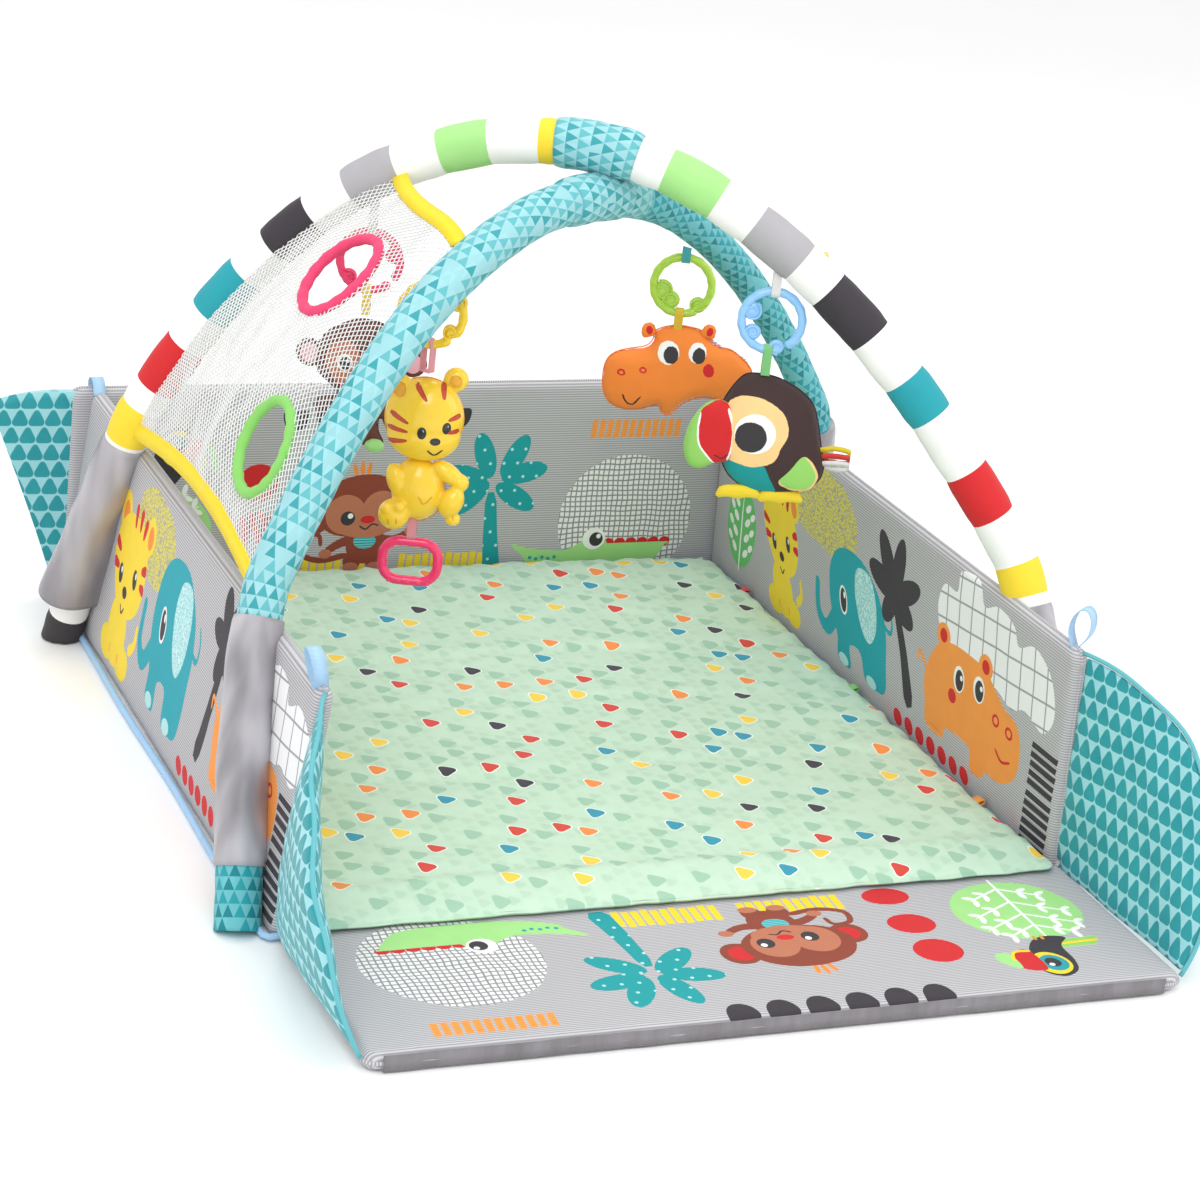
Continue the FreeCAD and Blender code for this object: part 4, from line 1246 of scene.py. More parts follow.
def quilt_height(x, y, d, side):
    """The height of the mat's upper or lower sheet, d away from its seam."""
    loose = 1.0 + 1.3 * max(0.0, x / QUILT_X_HALF) ** 6 \
        + 1.1 * max(0.0, y / QUILT_Y_HALF) ** 6
    along = x if abs(y) / QUILT_Y_HALF > abs(x) / QUILT_X_HALF else y
    t = min(d / 17, 1)
    rise = math.sqrt(max(0.0, 1 - (1 - t) ** 2))
    lift = 8.6 * rise
    lift += rise * (2.6 * ripple(x * 0.6, y * 1.4, 0, 105, 1.7)
                    + 1.1 * ripple(x * 0.7, y * 1.5, 0, 42, 6.1)
                    + 0.4 * ripple(x, y, 0, 15, 8.8))
    lift += min(1, d / 7) * 2.3 * loose * gathers(along, d, 2.2 + side)
    lift *= min(1.0, 0.32 + max(0.0, (y + QUILT_Y_HALF - 12) / 70))
    for fold, wave, phase in ((-150, 70, 0), (20, 110, 2), (150, 90, 1)):
        off = y - fold - 7 * math.sin(x / wave + phase)
        lift -= 1.9 * rise * math.exp(-(off / 8) ** 2)
        lift += 1.1 * rise * math.exp(-((off - 16) / 11) ** 2)
    seam = under_quilt(y) + QUILT_SEAM
    z = seam + lift if side > 0 else seam - rise * 4.2
    return min(max(z, under_quilt(y)), 41)


def make_quilt():
    """A thin wadded mat whose front edge laps over the hinge of the flap."""
    wavy = quilt_outline()
    rings = [[(x * (1 - inset / QUILT_X_HALF), y * (1 - inset / QUILT_Y_HALF))
              for x, y in wavy] for inset in (1.2, 4, 8, 14, 22)]
    points, triangles, _ = cut_sheet(wavy, [], 8.5, rings)
    away = edge_distance(points, wavy)
    uvs = [(x * MM, (y + QUILT_Y) * MM) for x, y in points]
    parts = []
    for side in (1, -1):
        verts = [Vector((x, y + QUILT_Y, quilt_height(x, y, d, side))) * MM
                 for (x, y), d in zip(points, away)]
        parts.append((verts, triangles, uvs))
    verts, faces, uvs, _ = merged(parts)
    cloth = once("mat_green", mat_cloth)
    quilt = piece("quilt_mat_pad", verts, faces, [cloth], uvs=uvs)
    weld(quilt, 2e-6)
    swell_cloth(quilt, 0.7, 0.0035, 10)
    hem = [Vector((x, y + QUILT_Y, under_quilt(y) + QUILT_SEAM)) * MM for x, y in wavy]
    verts, faces, uvs = tube_mesh(hem, 1.5 * MM, 8, closed=True)
    cord = piece("quilt_mat_hem", verts, faces, [cloth],
                 uvs=[(v.x, v.y) for v in verts])
    for item in (quilt, cord):
        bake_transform(item)
    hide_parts("quilt_mat")


def swell_cloth(item, pressure, cap, frames):
    """Cloth simulation: air pressure rounds a sewn piece.

    No point moves further than cap.
    """
    scene = bpy.context.scene
    rest = np.zeros(len(item.data.vertices) * 3, np.float32)
    item.data.vertices.foreach_get("co", rest)
    rest = rest.reshape(-1, 3)
    modifier = item.modifiers.new("cloth", "CLOTH")
    cloth = modifier.settings
    cloth.quality = 4
    cloth.mass = 0.25
    cloth.tension_stiffness = cloth.compression_stiffness = 12
    cloth.shear_stiffness = 6
    cloth.bending_stiffness = 0.6
    cloth.air_damping = 4
    cloth.use_pressure = True
    cloth.uniform_pressure_force = pressure
    cloth.effector_weights.gravity = 0
    modifier.collision_settings.use_collision = False
    modifier.point_cache.frame_end = frames + 1
    for number in range(1, frames + 1):
        scene.frame_set(number)
    shown = item.evaluated_get(bpy.context.evaluated_depsgraph_get())
    now = np.zeros_like(rest).ravel()
    shown.data.vertices.foreach_get("co", now)
    move = now.reshape(-1, 3) - rest
    length = np.linalg.norm(move, axis=1, keepdims=True)
    move *= np.minimum(1.0, cap / np.maximum(length, 1e-9))
    item.modifiers.remove(modifier)
    item.data.vertices.foreach_set("co", (rest + move).ravel())
    item.data.update()
    scene.frame_set(1)
    return item


# ------------------------------------------------------ gussets and hinges

GUSSET_TOP, GUSSET_BULGE = 234.0, 46
HINGE_Y, HINGE_Z = -439.0, 12.0


def fan_grid(rows, columns, make):
    """Verts, faces and UVs of a grid; make(i/rows, j/columns) gives both."""
    verts, uvs, faces = [], [], []
    for i in range(rows + 1):
        for j in range(columns + 1):
            point, uv = make(i / rows, j / columns)
            verts.append(point)
            uvs.append(uv)
    for i in range(rows):
        for j in range(columns):
            a = i * (columns + 1) + j
            faces.append((a, a + 1, a + columns + 2, a + columns + 1))
    return verts, faces, uvs


def front_gusset(side, label, wad, seed):
    """A wadded quarter fan between a side wall and the open front flap."""
    slope = math.tan(math.radians(LEANS[label]))
    cloth = once("gusset_drops", drop_cloth)

    def middle(r, turn):
        y = HINGE_Y + 11 - r * (GUSSET_TOP + 8) * math.sin(turn)
        z = HINGE_Z + 1 + r * GUSSET_TOP * math.cos(turn)
        x = 412 - slope * (z - 1) * max(0.0, math.cos(turn)) ** 1.2
        x += GUSSET_BULGE * math.sin(2 * turn) ** 0.9 * r ** 1.25
        x += 3.2 * ripple(y, z, 0, 48, seed) * min(1, 3 * r * (1 - r) + 0.3)
        x += 2.6 * math.sin(turn * 13 + seed) * r ** 2 * math.sin(2 * turn)
        return x, y, z

    def layer(sign):
        def make(i, j):
            r, turn = 0.02 + 0.98 * i, math.radians(90 * j)
            x, y, z = middle(r, turn)
            thick = wad * (1 - abs(2 * i - 1) ** 2.2) ** 0.55 \
                * (1 - abs(2 * j - 1) ** 2.6) ** 0.5
            x += sign * thick / 2
            return Vector((side * x, y, z)) * MM, ((0.8 * x - y) * MM, z * MM)
        return fan_grid(26, 34, make)

    rim = [Vector((side * x, y, z)) * MM
           for x, y, z in (middle(1.0, math.radians(90 * k / 44)) for k in range(45))]
    verts, faces, uvs, _ = merged([layer(1), layer(-1)])
    item = piece(f"front_{label}_gusset_cloth", verts, faces, [cloth], uvs=uvs)
    weld(item, 1e-4)
    soften(item)
    settle_blend(item)
    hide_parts(f"front_{label}_gusset")
    cord = tube_mesh(rim, 2.3 * MM, 10)
    seam = piece(f"front_{label}_gusset_seam", *cord[:2], [ink("hem_teal")],
                 uvs=cord[2])
    settle_blend(seam)


def settle_blend(item):
    """Bakes the piece's transform into its mesh."""
    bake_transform(item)


def back_fin(side, label, seed):
    """The back gusset, folded double so that it stands out like a fin.

    Known fault: the layers end 0.2 mm apart and are not welded there, so a slit opens
    along the outer edge when the back wall folds.
    """
    cloth = once("gusset_drops", drop_cloth)

    def point(sign, i, j):
        """i runs outwards from the wall, j up from the floor."""
        z = 13 + 232 * j
        x = 405 + (21 + 82 * j ** 1.1) * i
        spread = 5.4 * (1 - i) + 0.1
        y = 441 + sign * spread
        y += 1.6 * ripple(x, z, 0, 40, seed) * i * (1 - i)
        z += 3 * math.sin(i * math.pi) * j - 10 * i ** 2 * j
        return Vector((side * x, y, z)) * MM

    def layer(sign):
        def make(i, j):
            at = point(sign, i, j)
            return at, (at.x, at.z)
        return fan_grid(14, 26, make)

    def cap(j):
        def make(i, k):
            at = point(-1, i, j).lerp(point(1, i, j), k)
            return at, (at.x, at.z)
        return fan_grid(14, 2, make)

    verts, faces, uvs, _ = merged([layer(-1), layer(1), cap(0.0), cap(1.0)])
    item = piece(f"back_{label}_gusset_cloth", verts, faces, [cloth], uvs=uvs)
    weld(item, 1e-4)
    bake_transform(item)
    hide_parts(f"back_{label}_gusset")


def strap_mesh(points, sides, width, thick=0.6):
    """A flat band along points; sides gives its width direction at each point."""
    verts, uvs, faces = [], [], []
    run = 0.0
    count = len(points)
    for i, point in enumerate(points):
        ahead = points[min(i + 1, count - 1)] - points[max(i - 1, 0)]
        side = Vector(sides[i] if isinstance(sides, list) else sides).normalized()
        normal = side.cross(ahead).normalized()
        run += (point - points[i - 1]).length if i else 0
        wide = width(i / (count - 1)) if callable(width) else width
        for a, b in ((-1, -1), (1, -1), (1, 1), (-1, 1)):
            verts.append(point + side * (a * wide / 2) + normal * (b * thick / 2))
            uvs.append((a * wide / 2, run))
    for i in range(count - 1):
        for k in range(4):
            faces.append((4 * i + k, 4 * i + (k + 1) % 4,
                          4 * i + 4 + (k + 1) % 4, 4 * i + 4 + k))
    faces += [(3, 2, 1, 0), tuple(4 * (count - 1) + k for k in range(4))]
    return verts, faces, uvs


def make_gussets():
    front_gusset(-1, "left", wad=32, seed=2.0)
    front_gusset(1, "right", wad=17, seed=7.0)
    back_fin(-1, "left", 3.0)
    back_fin(1, "right", 9.0)
    grey = once("wall_grey", striped_grey)
    route = [Vector((0, y, z)) * MM for y, z in
             ((-418, 15.2), (-424, 17.2), (-429, 18.8), (-434, 19.6), (-440, 19.9),
              (-447, 19.6))]
    verts, faces, uvs = strap_mesh(catmull(route, 4), (1, 0, 0), 0.790, 0.0009)
    strip = piece("front_hinge_strip", verts, faces, [grey], uvs=uvs)
    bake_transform(strip)
    route = [Vector((0, y, z)) * MM for y, z in
             ((418, 0.7), (430, 0.6), (445, 0.6), (451.6, 1.2), (452.2, 5), (452, 12))]
    verts, faces, uvs = strap_mesh(catmull(route, 4), (1, 0, 0), 0.800, 0.0007)
    strip = piece("back_hinge_strip", verts, faces, [grey], uvs=uvs)
    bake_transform(strip)


# ------------------------------------------------------------------ arches

# Guide points of both arches in millimetres, from the left foot to the right one.
ARCH_B = ((-444, 312, 0), (-415, 236, 250), (-366, 207, 358), (-302, 168, 471),
          (-213, 114, 577), (-115, 56, 635), (-42, 12, 649), (25, -28, 647),
          (105, -76, 619), (211, -140, 543), (308, -198, 436), (378, -240, 336),
          (431, -272, 250), (446, -404, 0))
ARCH_A = ((-444, -404, 0), (-415, -272, 250), (-366, -243, 345), (-302, -204, 445),
          (-213, -150, 538), (-115, -92, 589), (-42, -48, 601), (25, -8, 599),
          (105, 40, 575), (211, 104, 508), (308, 162, 413), (378, 204, 326),
          (431, 236, 250), (446, 312, 0))
# Where each stripe of arch B ends, on an arch of length LONG_B.
STRIPES = ((274, "white"), (319, "yellow"), (347, "white"), (404, "red"),
           (448, "white"), (510, "sky_teal"), (553, "white"), (608, "charcoal"),
           (657, "white"), (714, "grey"), (763, "white"), (815, "leaf"),
           (865, "white"), (884, "yellow"), (966, "sky_teal"), (996, "white"),
           (1056, "leaf"), (1101, "white"), (1162, "grey"), (1203, "white"),
           (1264, "charcoal"), (1321, "white"), (1371, "sky_teal"), (1437, "white"),
           (1494, "red"), (1548, "white"), (1586, "yellow"), (1800, "white"))
LONG_B, LONG_A = 1867.0, 1801.0
GIRTH = 12 * TRIANGLE
ARCH_SIDES = 28
ARCH_START = 246  # where the padding starts above each foot
CUFF_BAND = 34    # where a striped cuff turns from black to white


def arch_line(corners, step=4.0):
    return resample(bspline(corners, 24), step)


def lengths_of(line):
    out = [0.0]
    for a, b in zip(line, line[1:]):
        out.append(out[-1] + (b - a).length)
    return out


def part_of(line, start, stop):
    """The points whose distance along the line is between start and stop."""
    return [p for p, run in zip(line, lengths_of(line)) if start <= run <= stop]


def with_girth(mesh, sides, girth):
    """Replaces u by an even share of the girth."""
    verts, faces, uvs = mesh
    columns = sides + 1
    return verts, faces, [(girth * (i % columns) / sides, v)
                          for i, (_, v) in enumerate(uvs)]


def padded_cover(name, mesh, paints, picks, slot, node):
    """A closed cloth tube on the gym, in place of its CAD node."""
    verts, faces, uvs = mesh
    item = piece(name, verts, faces, paints, picks, uvs)
    weld(item, 2e-6)
    settle(item, "gym", slot, node)


def arch_cover(which, points, radius, paints, paint_at, end_paint, slot):
    """An arch's padding; paint_at(start, stop) is the paint of a ring of faces."""
    mesh = tube_mesh(points, radius, ARCH_SIDES)
    verts, faces, uvs = with_girth(mesh, ARCH_SIDES, GIRTH)
    runs = lengths_of(points)
    picks = [paint_at(a, b) for a, b in zip(runs, runs[1:]) for _ in range(ARCH_SIDES)]
    picks += [end_paint] * (len(faces) - len(picks))
    padded_cover(f"arch_{which}_cloth", (verts, faces, uvs), paints, picks, slot,
                 f"arch_{which}_padding")


def make_arch_b():
    line = arch_line(ARCH_B)
    scale = lengths_of(line)[-1] / LONG_B
    start, stop = ARCH_START * scale, (LONG_B - ARCH_START) * scale
    seams = [edge * scale for edge, _ in STRIPES]
    names = [name for _, name in STRIPES]
    order = sorted(set(names))

    def radius(run, angle):
        at = start + run / MM
        near = min(abs(at - seam) for seam in seams)
        puff = 22.6 + 1.3 * min(1.0, near / 14) ** 0.6
        fold = 0.8 * ripple(at, 26 * math.cos(angle), 26 * math.sin(angle), 24, 4)
        tuck = 5 * min(1.0, max(0.0, (start + 24 - min(at, start + stop - at)) / 14))
        return (puff + fold * min(1, near / 10) - tuck) * MM

    def paint_at(first, last):
        at = start + (first + last) / 2 / MM
        index = next((k for k, seam in enumerate(seams) if at < seam), len(seams) - 1)
        return order.index(names[index])

    points = [p * MM for p in part_of(line, start, stop)]
    arch_cover("b", points, radius, [ink(name) for name in order], paint_at,
               order.index("white"), "striped_cloth")


def make_arch_a():
    line = arch_line(ARCH_A)
    scale = lengths_of(line)[-1] / LONG_A
    start, stop = ARCH_START * scale, (LONG_A - ARCH_START) * scale

    def radius(run, angle):
        at = run / MM
        fold = 0.9 * ripple(at, 26 * math.cos(angle), 26 * math.sin(angle), 26, 8)
        tuck = 5 * min(1.0, max(0.0, (24 - min(at, stop - start - at)) / 14))
        slim = 3.4 * min(1.0, max(0.0, (at / (stop - start) - 0.55) / 0.08))
        return (21.9 + fold - tuck - slim) * MM

    points = [p * MM for p in part_of(line, start, stop)]
    # The far half of arch A takes the darker triangle copy: painted shade.
    shaded_from = lengths_of(points)[-1] * 0.56
    paints = [triangle_cloth("triangles_light", LIGHT_TRIANGLES),
              triangle_cloth("triangles_deep", SHADED_TRIANGLES)]
    arch_cover("a", points, radius, paints, lambda first, last: int(first > shaded_from), 0,
               "teal_cloth")


def make_wrap():
    """The wide teal band that ties the two arches where they cross."""
    light = triangle_cloth("triangles_light", LIGHT_TRIANGLES)
    parts = []
    for corners, total, low, high, size in ((ARCH_B, LONG_B, 880, 969, 26.2),
                                            (ARCH_A, LONG_A, 858, 952, 25.4)):
        line = arch_line(corners)
        scale = lengths_of(line)[-1] / total
        points = [p * MM for p in part_of(line, low * scale, high * scale)]
        whole = lengths_of(points)[-1]

        def radius(run, angle, whole=whole, size=size):
            near = min(run, whole - run) / MM
            puff = size - 2.0 * math.exp(-near / 5)
            fold = 1.1 * ripple(run / MM, 20 * math.cos(angle), 20 * math.sin(angle),
                                22, size)
            return (puff + fold) * MM

        parts.append(with_girth(tube_mesh(points, radius, 32), 32, GIRTH * 14 / 12))
    padded_cover("crossover_wrap_cloth", merged(parts)[:3], [light], None, "teal_cloth",
                 "crossover_wrap")


# Each leg's arch, whether it is the far end, and its sleeve's flare and top.
LEGS = {"back_left": (ARCH_B, 0, 12.0, 272), "front_right": (ARCH_B, 1, 1.5, 268),
        "front_left": (ARCH_A, 0, 0.0, 296), "back_right": (ARCH_A, 1, 1.0, 280)}
SLEEVE_FOOT, CUFF_TOP = 60, 86


def leg_points(corners, far, start, stop, step=6.0):
    """Points of one leg, counted up from the foot."""
    line = arch_line(corners)
    if far:
        line = line[::-1]
    return resample(part_of(line, start, stop), step)


def leg_sleeve(label, corners, far, flare, top, index):
    """A loose satin sleeve that widens towards the floor."""
    points = leg_points(corners, far, SLEEVE_FOOT, top)
    whole = lengths_of(points)[-1]

    def radius(run, angle):
        share = max(0.0, 1 - run / MM / whole)
        near = min(run / MM, whole - run / MM)
        size = 25.0 + flare * share ** 1.4
        loose = 1 - math.exp(-max(0.0, near) / 30)
        size *= 1 + 0.015 * flare * share * math.cos(2 * angle + 0.8)
        size += 1.5 * loose * math.sin(3 * angle + index + run / MM / 60)
        size += 2.6 * loose * ripple(run / MM * 0.4, 20 * math.cos(angle),
                                     20 * math.sin(angle), 17, index * 3.1)
        size -= 1.1 * math.exp(-near / 2.0)
        return size * MM

    tube = tube_mesh([p * MM for p in points], radius, 44)
    padded_cover(f"leg_sleeve_{label}_cloth", tube, [once("sleeve_satin", satin)], None,
                 "satin_sleeve", f"leg_sleeve_{label}")


def foot_cuff(label, corners, far):
    """The padded end of a leg below its sleeve, flattened where it meets the floor."""
    points = [p * MM for p in leg_points(corners, far, 0, CUFF_TOP, 4.0)]
    striped = corners is ARCH_B
    # Arch A's cuffs take the darker triangle copy: painted shade.
    paints = [ink("black"), ink("white")] if striped else \
        [triangle_cloth("triangles_deep", SHADED_TRIANGLES)]

    def radius(run, angle):
        near = abs(run / MM - CUFF_BAND) if striped else 20
        return (21.3 + 0.9 * min(1, near / 9)
                + 0.6 * ripple(run / MM, 20 * math.cos(angle),
                               20 * math.sin(angle), 18, 2.5)) * MM

    verts, faces, uvs = with_girth(tube_mesh(points, radius, ARCH_SIDES), ARCH_SIDES,
                                   GIRTH)
    verts = [Vector((v.x, v.y, max(v.z, 0.0004 + 0.0012
                                   * (1 + ripple(v.x / MM, v.y / MM, 0, 9, 1)))))
             for v in verts]
    picks = [int(striped and run > CUFF_BAND * MM) for run in lengths_of(points)[:-1]
             for _ in range(ARCH_SIDES)]
    picks += [0] * ARCH_SIDES + [len(paints) - 1] * ARCH_SIDES
    padded_cover(f"foot_cuff_{label}_cloth", (verts, faces, uvs), paints, picks,
                 "striped_cloth" if striped else "teal_cloth", f"foot_cuff_{label}")


def make_legs():
    for index, (label, (corners, far, flare, top)) in enumerate(LEGS.items()):
        leg_sleeve(label, corners, far, flare, top, index)
        foot_cuff(label, corners, far)


# -------------------------------------------------------------------- net

def arc_through(a, b, c):
    """The circular arc through three points, as a function of its share."""
    (ax, az), (bx, bz), (cx, cz) = a, b, c
    d = 2 * (ax * (bz - cz) + bx * (cz - az) + cx * (az - bz))
    squares = [x * x + z * z for x, z in (a, b, c)]
    ux = (squares[0] * (bz - cz) + squares[1] * (cz - az) + squares[2] * (az - bz)) / d
    uz = (squares[0] * (cx - bx) + squares[1] * (ax - cx) + squares[2] * (bx - ax)) / d
    radius = math.hypot(ax - ux, az - uz)
    first = math.atan2(az - uz, ax - ux)
    last = math.atan2(cz - uz, cx - ux)
    return (lambda s: (ux + radius * math.cos(first + (last - first) * s),
                       uz + radius * math.sin(first + (last - first) * s)),
            radius * abs(last - first))


NET_ARC, NET_LONG = arc_through((-402, 268), (-322, 458), (-172, 596))
HOLES = {"pink": (-269.7, -28.0), "green": (-366.7, -128.0)}
HOLE_RADIUS = 46.0


def side_of_arch(corners):
    """y and z of an arch's line at a given x, on its left half."""
    line = [p for p in arch_line(corners, 3.0) if p.x < -60 and p.z > 200]
    xs = np.array([p.x for p in line])
    ys = np.array([p.y for p in line])
    zs = np.array([p.z for p in line])
    return lambda x: (np.interp(x, xs, ys), np.interp(x, xs, zs))


NET_A, NET_B = side_of_arch(ARCH_A), side_of_arch(ARCH_B)


def net_edges(along):
    """The y of both arches at a distance along the net's arc."""
    x, _ = NET_ARC(along / NET_LONG)
    return NET_A(x)[0], NET_B(x)[0]


def net_point(along, y, wrinkle=1.0):
    """A point of the net, along its arc from the wall up and across it."""
    x, z = NET_ARC(along / NET_LONG)
    (ya, za), (yb, zb) = NET_A(x), NET_B(x)
    share = (y - ya) / (yb - ya)
    pull = abs(2 * share - 1) ** 3
    z_tube = za + (zb - za) * share
    z = z + (z_tube + 6 - z) * pull
    free = max(0.0, 1 - pull)
    soft = 4.2 * ripple(along, y, 0, 70, 2.4) + 1.6 * ripple(along * 0.4, y, 0, 24, 7.7)
    for name, (_, hy) in HOLES.items():
        away = math.hypot(along - HOLE_ALONG[name], y - hy)
        soft *= min(1, max(0.0, (away - HOLE_RADIUS) / 40))
    lift = soft * free * wrinkle
    return Vector((x - 0.75 * lift, y, z + 0.65 * lift))


def along_of(x):
    """The distance along the net's arc where it has this x."""
    low, high = 0.0, NET_LONG
    for _ in range(40):
        middle = (low + high) / 2
        if NET_ARC(middle / NET_LONG)[0] < x:
            low = middle
        else:
            high = middle
    return low


HOLE_ALONG = {name: along_of(x) for name, (x, _) in HOLES.items()}
HEM_RISE = 30.0
THREAD = 0.00157  # metres
CELL = 3.9


def hem_along(y, upper):
    """Where a hem's middle runs: both bow towards the middle of the net."""
    at = NET_LONG if upper else 0.0
    low, high = net_edges(at)
    share = min(1, max(0, (y - low) / (high - low)))
    bow = HEM_RISE * 4 * share * (1 - share)
    return at - bow * 0.45 - 5 if upper else at + bow + 2


def net_thread(label):
    look = Look(label, 0.6, 0.2)
    tone = look.mix(look.noise(look.place(), 60), (0.74, 0.74, 0.74), (0.88, 0.88, 0.88))
    return look.finish(tone, look.bump(look.noise(look.place(), 900), 0.0002, 0.6))


def in_net(along, y):
    """Whether a place is on the net, between its hems and clear of its holes."""
    low, high = net_edges(along)
    if not low + 15 < y < high - 15:
        return False
    if not hem_along(y, False) - 2 < along < hem_along(y, True) + 2:
        return False
    return all(math.hypot(along - HOLE_ALONG[name], y - hy) > HOLE_RADIUS
               for name, (_, hy) in HOLES.items())


def net_lattice():
    """Corners and faces of the net's diamond cells."""
    verts, index, faces = [], {}, []

    def corner(i, j):
        if (i, j) not in index:
            index[(i, j)] = len(verts)
            verts.append(net_point(i * CELL, j * CELL) * MM)
        return index[(i, j)]

    for i in range(1, int(NET_LONG / CELL)):
        for j in range(int(-300 / CELL), int(260 / CELL)):
            if (i + j) % 2:
                ring = ((i - 1, j), (i, j + 1), (i + 1, j), (i, j - 1))
                if all(in_net(a * CELL, b * CELL) for a, b in ring):
                    faces.append(tuple(corner(a, b) for a, b in ring))
    return verts, faces


def net_hem(name, upper):
    """The yellow binding along one end of the net."""
    low, high = net_edges(NET_LONG if upper else 0)
    ys = [low + 12 + (high - low - 24) * k / 60 for k in range(61)]
    middle = [net_point(hem_along(y, upper), y, 0.4) for y in ys]
    sides = [net_point(hem_along(y, upper) + 3, y, 0.4)
             - net_point(hem_along(y, upper) - 3, y, 0.4) for y in ys]
    band = strap_mesh([p * MM for p in middle], sides, 0.0175, 0.0040)
    hem = piece(f"net_{name}_hem", *band[:2], [ink("lemon")], uvs=band[2])
    return settle(hem, "gym", "yellow_binding", f"net_{name}_binding")


def hole_rim(name, hy):
    """The padded rim of a ball hole."""
    ring = []
    for k in range(72):
        a = 2 * math.pi * k / 72
        ring.append(net_point(HOLE_ALONG[name] + (HOLE_RADIUS + 2) * math.cos(a),
                              hy + (HOLE_RADIUS + 2) * math.sin(a), 1.0) * MM)

    def radius(run, angle):
        return (5.5 + 0.45 * math.sin(run / MM * 0.33 + hy)
                + 0.5 * ripple(run / MM, 8 * math.cos(angle), hy, 9, 3)) * MM

    tube = tube_mesh(ring, radius, 16, closed=True)
    paint = ink("pink") if name == "pink" else ink("rim_green")
    rim = piece(f"ball_hole_{name}_cloth", *tube[:2], [paint], uvs=tube[2])
    return settle(rim, "gym", f"{name}_binding", f"ball_hole_rim_{name}")


def make_net():
    net = piece("ball_net_mesh", *net_lattice(), [once("net_thread", net_thread)])
    wires = net.modifiers.new("strands", "WIREFRAME")
    wires.thickness = THREAD
    wires.use_even_offset = False
    wires.use_boundary = True
    settle(net, "gym", "mesh", "mesh_net")
    pieces = [net_hem("lower", False), net_hem("upper", True)]
    pieces += [hole_rim(name, hy) for name, (_, hy) in HOLES.items()]
    low, high = net_edges(0)
    top_low, top_high = net_edges(NET_LONG)


# ------------------------------------------------------ loops and ribbons

def ribbon_loop(name, base, up, side, width, high, wide, material, slot, nodes=()):
    """A ribbon folded into a standing loop from its base, in millimetres."""
    base, up = Vector(base), Vector(up).normalized()
    side = Vector(side).normalized()
    across = up.cross(side).normalized()
    route = [base + across * (-1.2), base + across * (-0.42 * wide) + up * (0.42 * high),
             base + across * (-0.36 * wide) + up * (0.82 * high), base + up * high,
             base + across * (0.36 * wide) + up * (0.82 * high),
             base + across * (0.42 * wide) + up * (0.42 * high), base + across * 1.2]
    line = catmull(route, 7)
    band = strap_mesh([p * MM for p in line], side, width * MM, 0.9 * MM)
    item = piece(name, *band[:2], [material], uvs=band[2])
    return settle(item, "gym", slot, *nodes)


def make_loops():
    blue = ribbon_cloth("ribbon_blue", (0.42, 0.66, 0.90))
    corners = ((-386, -413, 244), (401, -413, 246), (-386, 424, 244), (401, 422, 246))
    for k, (x, y, z) in enumerate(corners):
        up = (math.copysign(0.22, x), 0.1, 1) if y < 0 else (0, 1, 0.35)
        ribbon_loop(f"carry_loop_{k + 1}", (x, y, z), up,
                    (1, 0.7, 0.1) if x > 0 > y else (1, 0, 0), 14,
                    42 if y < 0 else 30, 25, blue, "blue_ribbon",
                    ("corner_loops",) if k == 0 else ())
    paints = [ribbon_cloth("ribbon_orange", (0.85, 0.33, 0.05)),
              ribbon_cloth("ribbon_green", (0.22, 0.60, 0.16)),
              ribbon_cloth("ribbon_red", (0.75, 0.06, 0.08))]
    places = [(side * 381, y) for side in (-1, 1) for y in (-300, 0, 300)]
    for k, (x, y) in enumerate(places):
        side = math.copysign(1, x)
        ribbon_loop(f"mat_ribbon_{k + 1}", (x, y, 22), (side, 0, 0.5), (0, 1, 0),
                    13, 14, 6, paints[k % 3], "ribbon",
                    ("mat_ribbon_tabs",) if k == 0 else ())
    ribbon_loop("arch_b_tab", (200, -132, 566), (0.8, -0.3, 0.45), (0.3, 0.9, 0.1),
                9, 12, 5, ribbon_cloth("ribbon_yellow", (0.90, 0.66, 0.03)), "ribbon")


# -------------------------------------------------------------------- toys

FACING = math.radians(-23.2)
TOY_RIGHT = Vector((math.cos(FACING), math.sin(FACING), 0))
TOY_FRONT = Vector((math.sin(FACING), -math.cos(FACING), 0))


def toy_place(pivot):
    """Turns a toy's own x, y and depth, from its pivot, into the frame."""
    base = Vector(pivot)
    return lambda x, y, w: (base + TOY_RIGHT * x + UP * y + TOY_FRONT * w) * MM


def stuffed_height(outline, thick, cell=2.0, rounds=420):
    """How high a stuffed shape stands over its seam plane."""
    ring = np.array(outline)
    low, high = ring.min(0) - 3 * cell, ring.max(0) + 3 * cell
    nx, ny = (np.ceil((high - low) / cell)).astype(int) + 1
    gx, gy = low[0] + cell * np.arange(nx), low[1] + cell * np.arange(ny)
    grid = np.array([(x, y) for x in gx for y in gy])
    mask = inside_mask(grid, outline).reshape(nx, ny).astype(float)
    field = np.zeros((nx, ny))
    for _ in range(rounds):
        around = np.zeros_like(field)
        around[1:-1, 1:-1] = (field[2:, 1:-1] + field[:-2, 1:-1] + field[1:-1, 2:]
                              + field[1:-1, :-2] + 1) / 4
        field = around * mask
    field = np.sqrt(field / field.max()) * thick

    def height(x, y):
        fx, fy = (x - low[0]) / cell, (y - low[1]) / cell
        i, j = int(fx), int(fy)
        fx, fy = fx - i, fy - j
        return ((1 - fx) * (1 - fy) * field[i, j] + fx * (1 - fy) * field[i + 1, j]
                + (1 - fx) * fy * field[i, j + 1] + fx * fy * field[i + 1, j + 1])
    return height


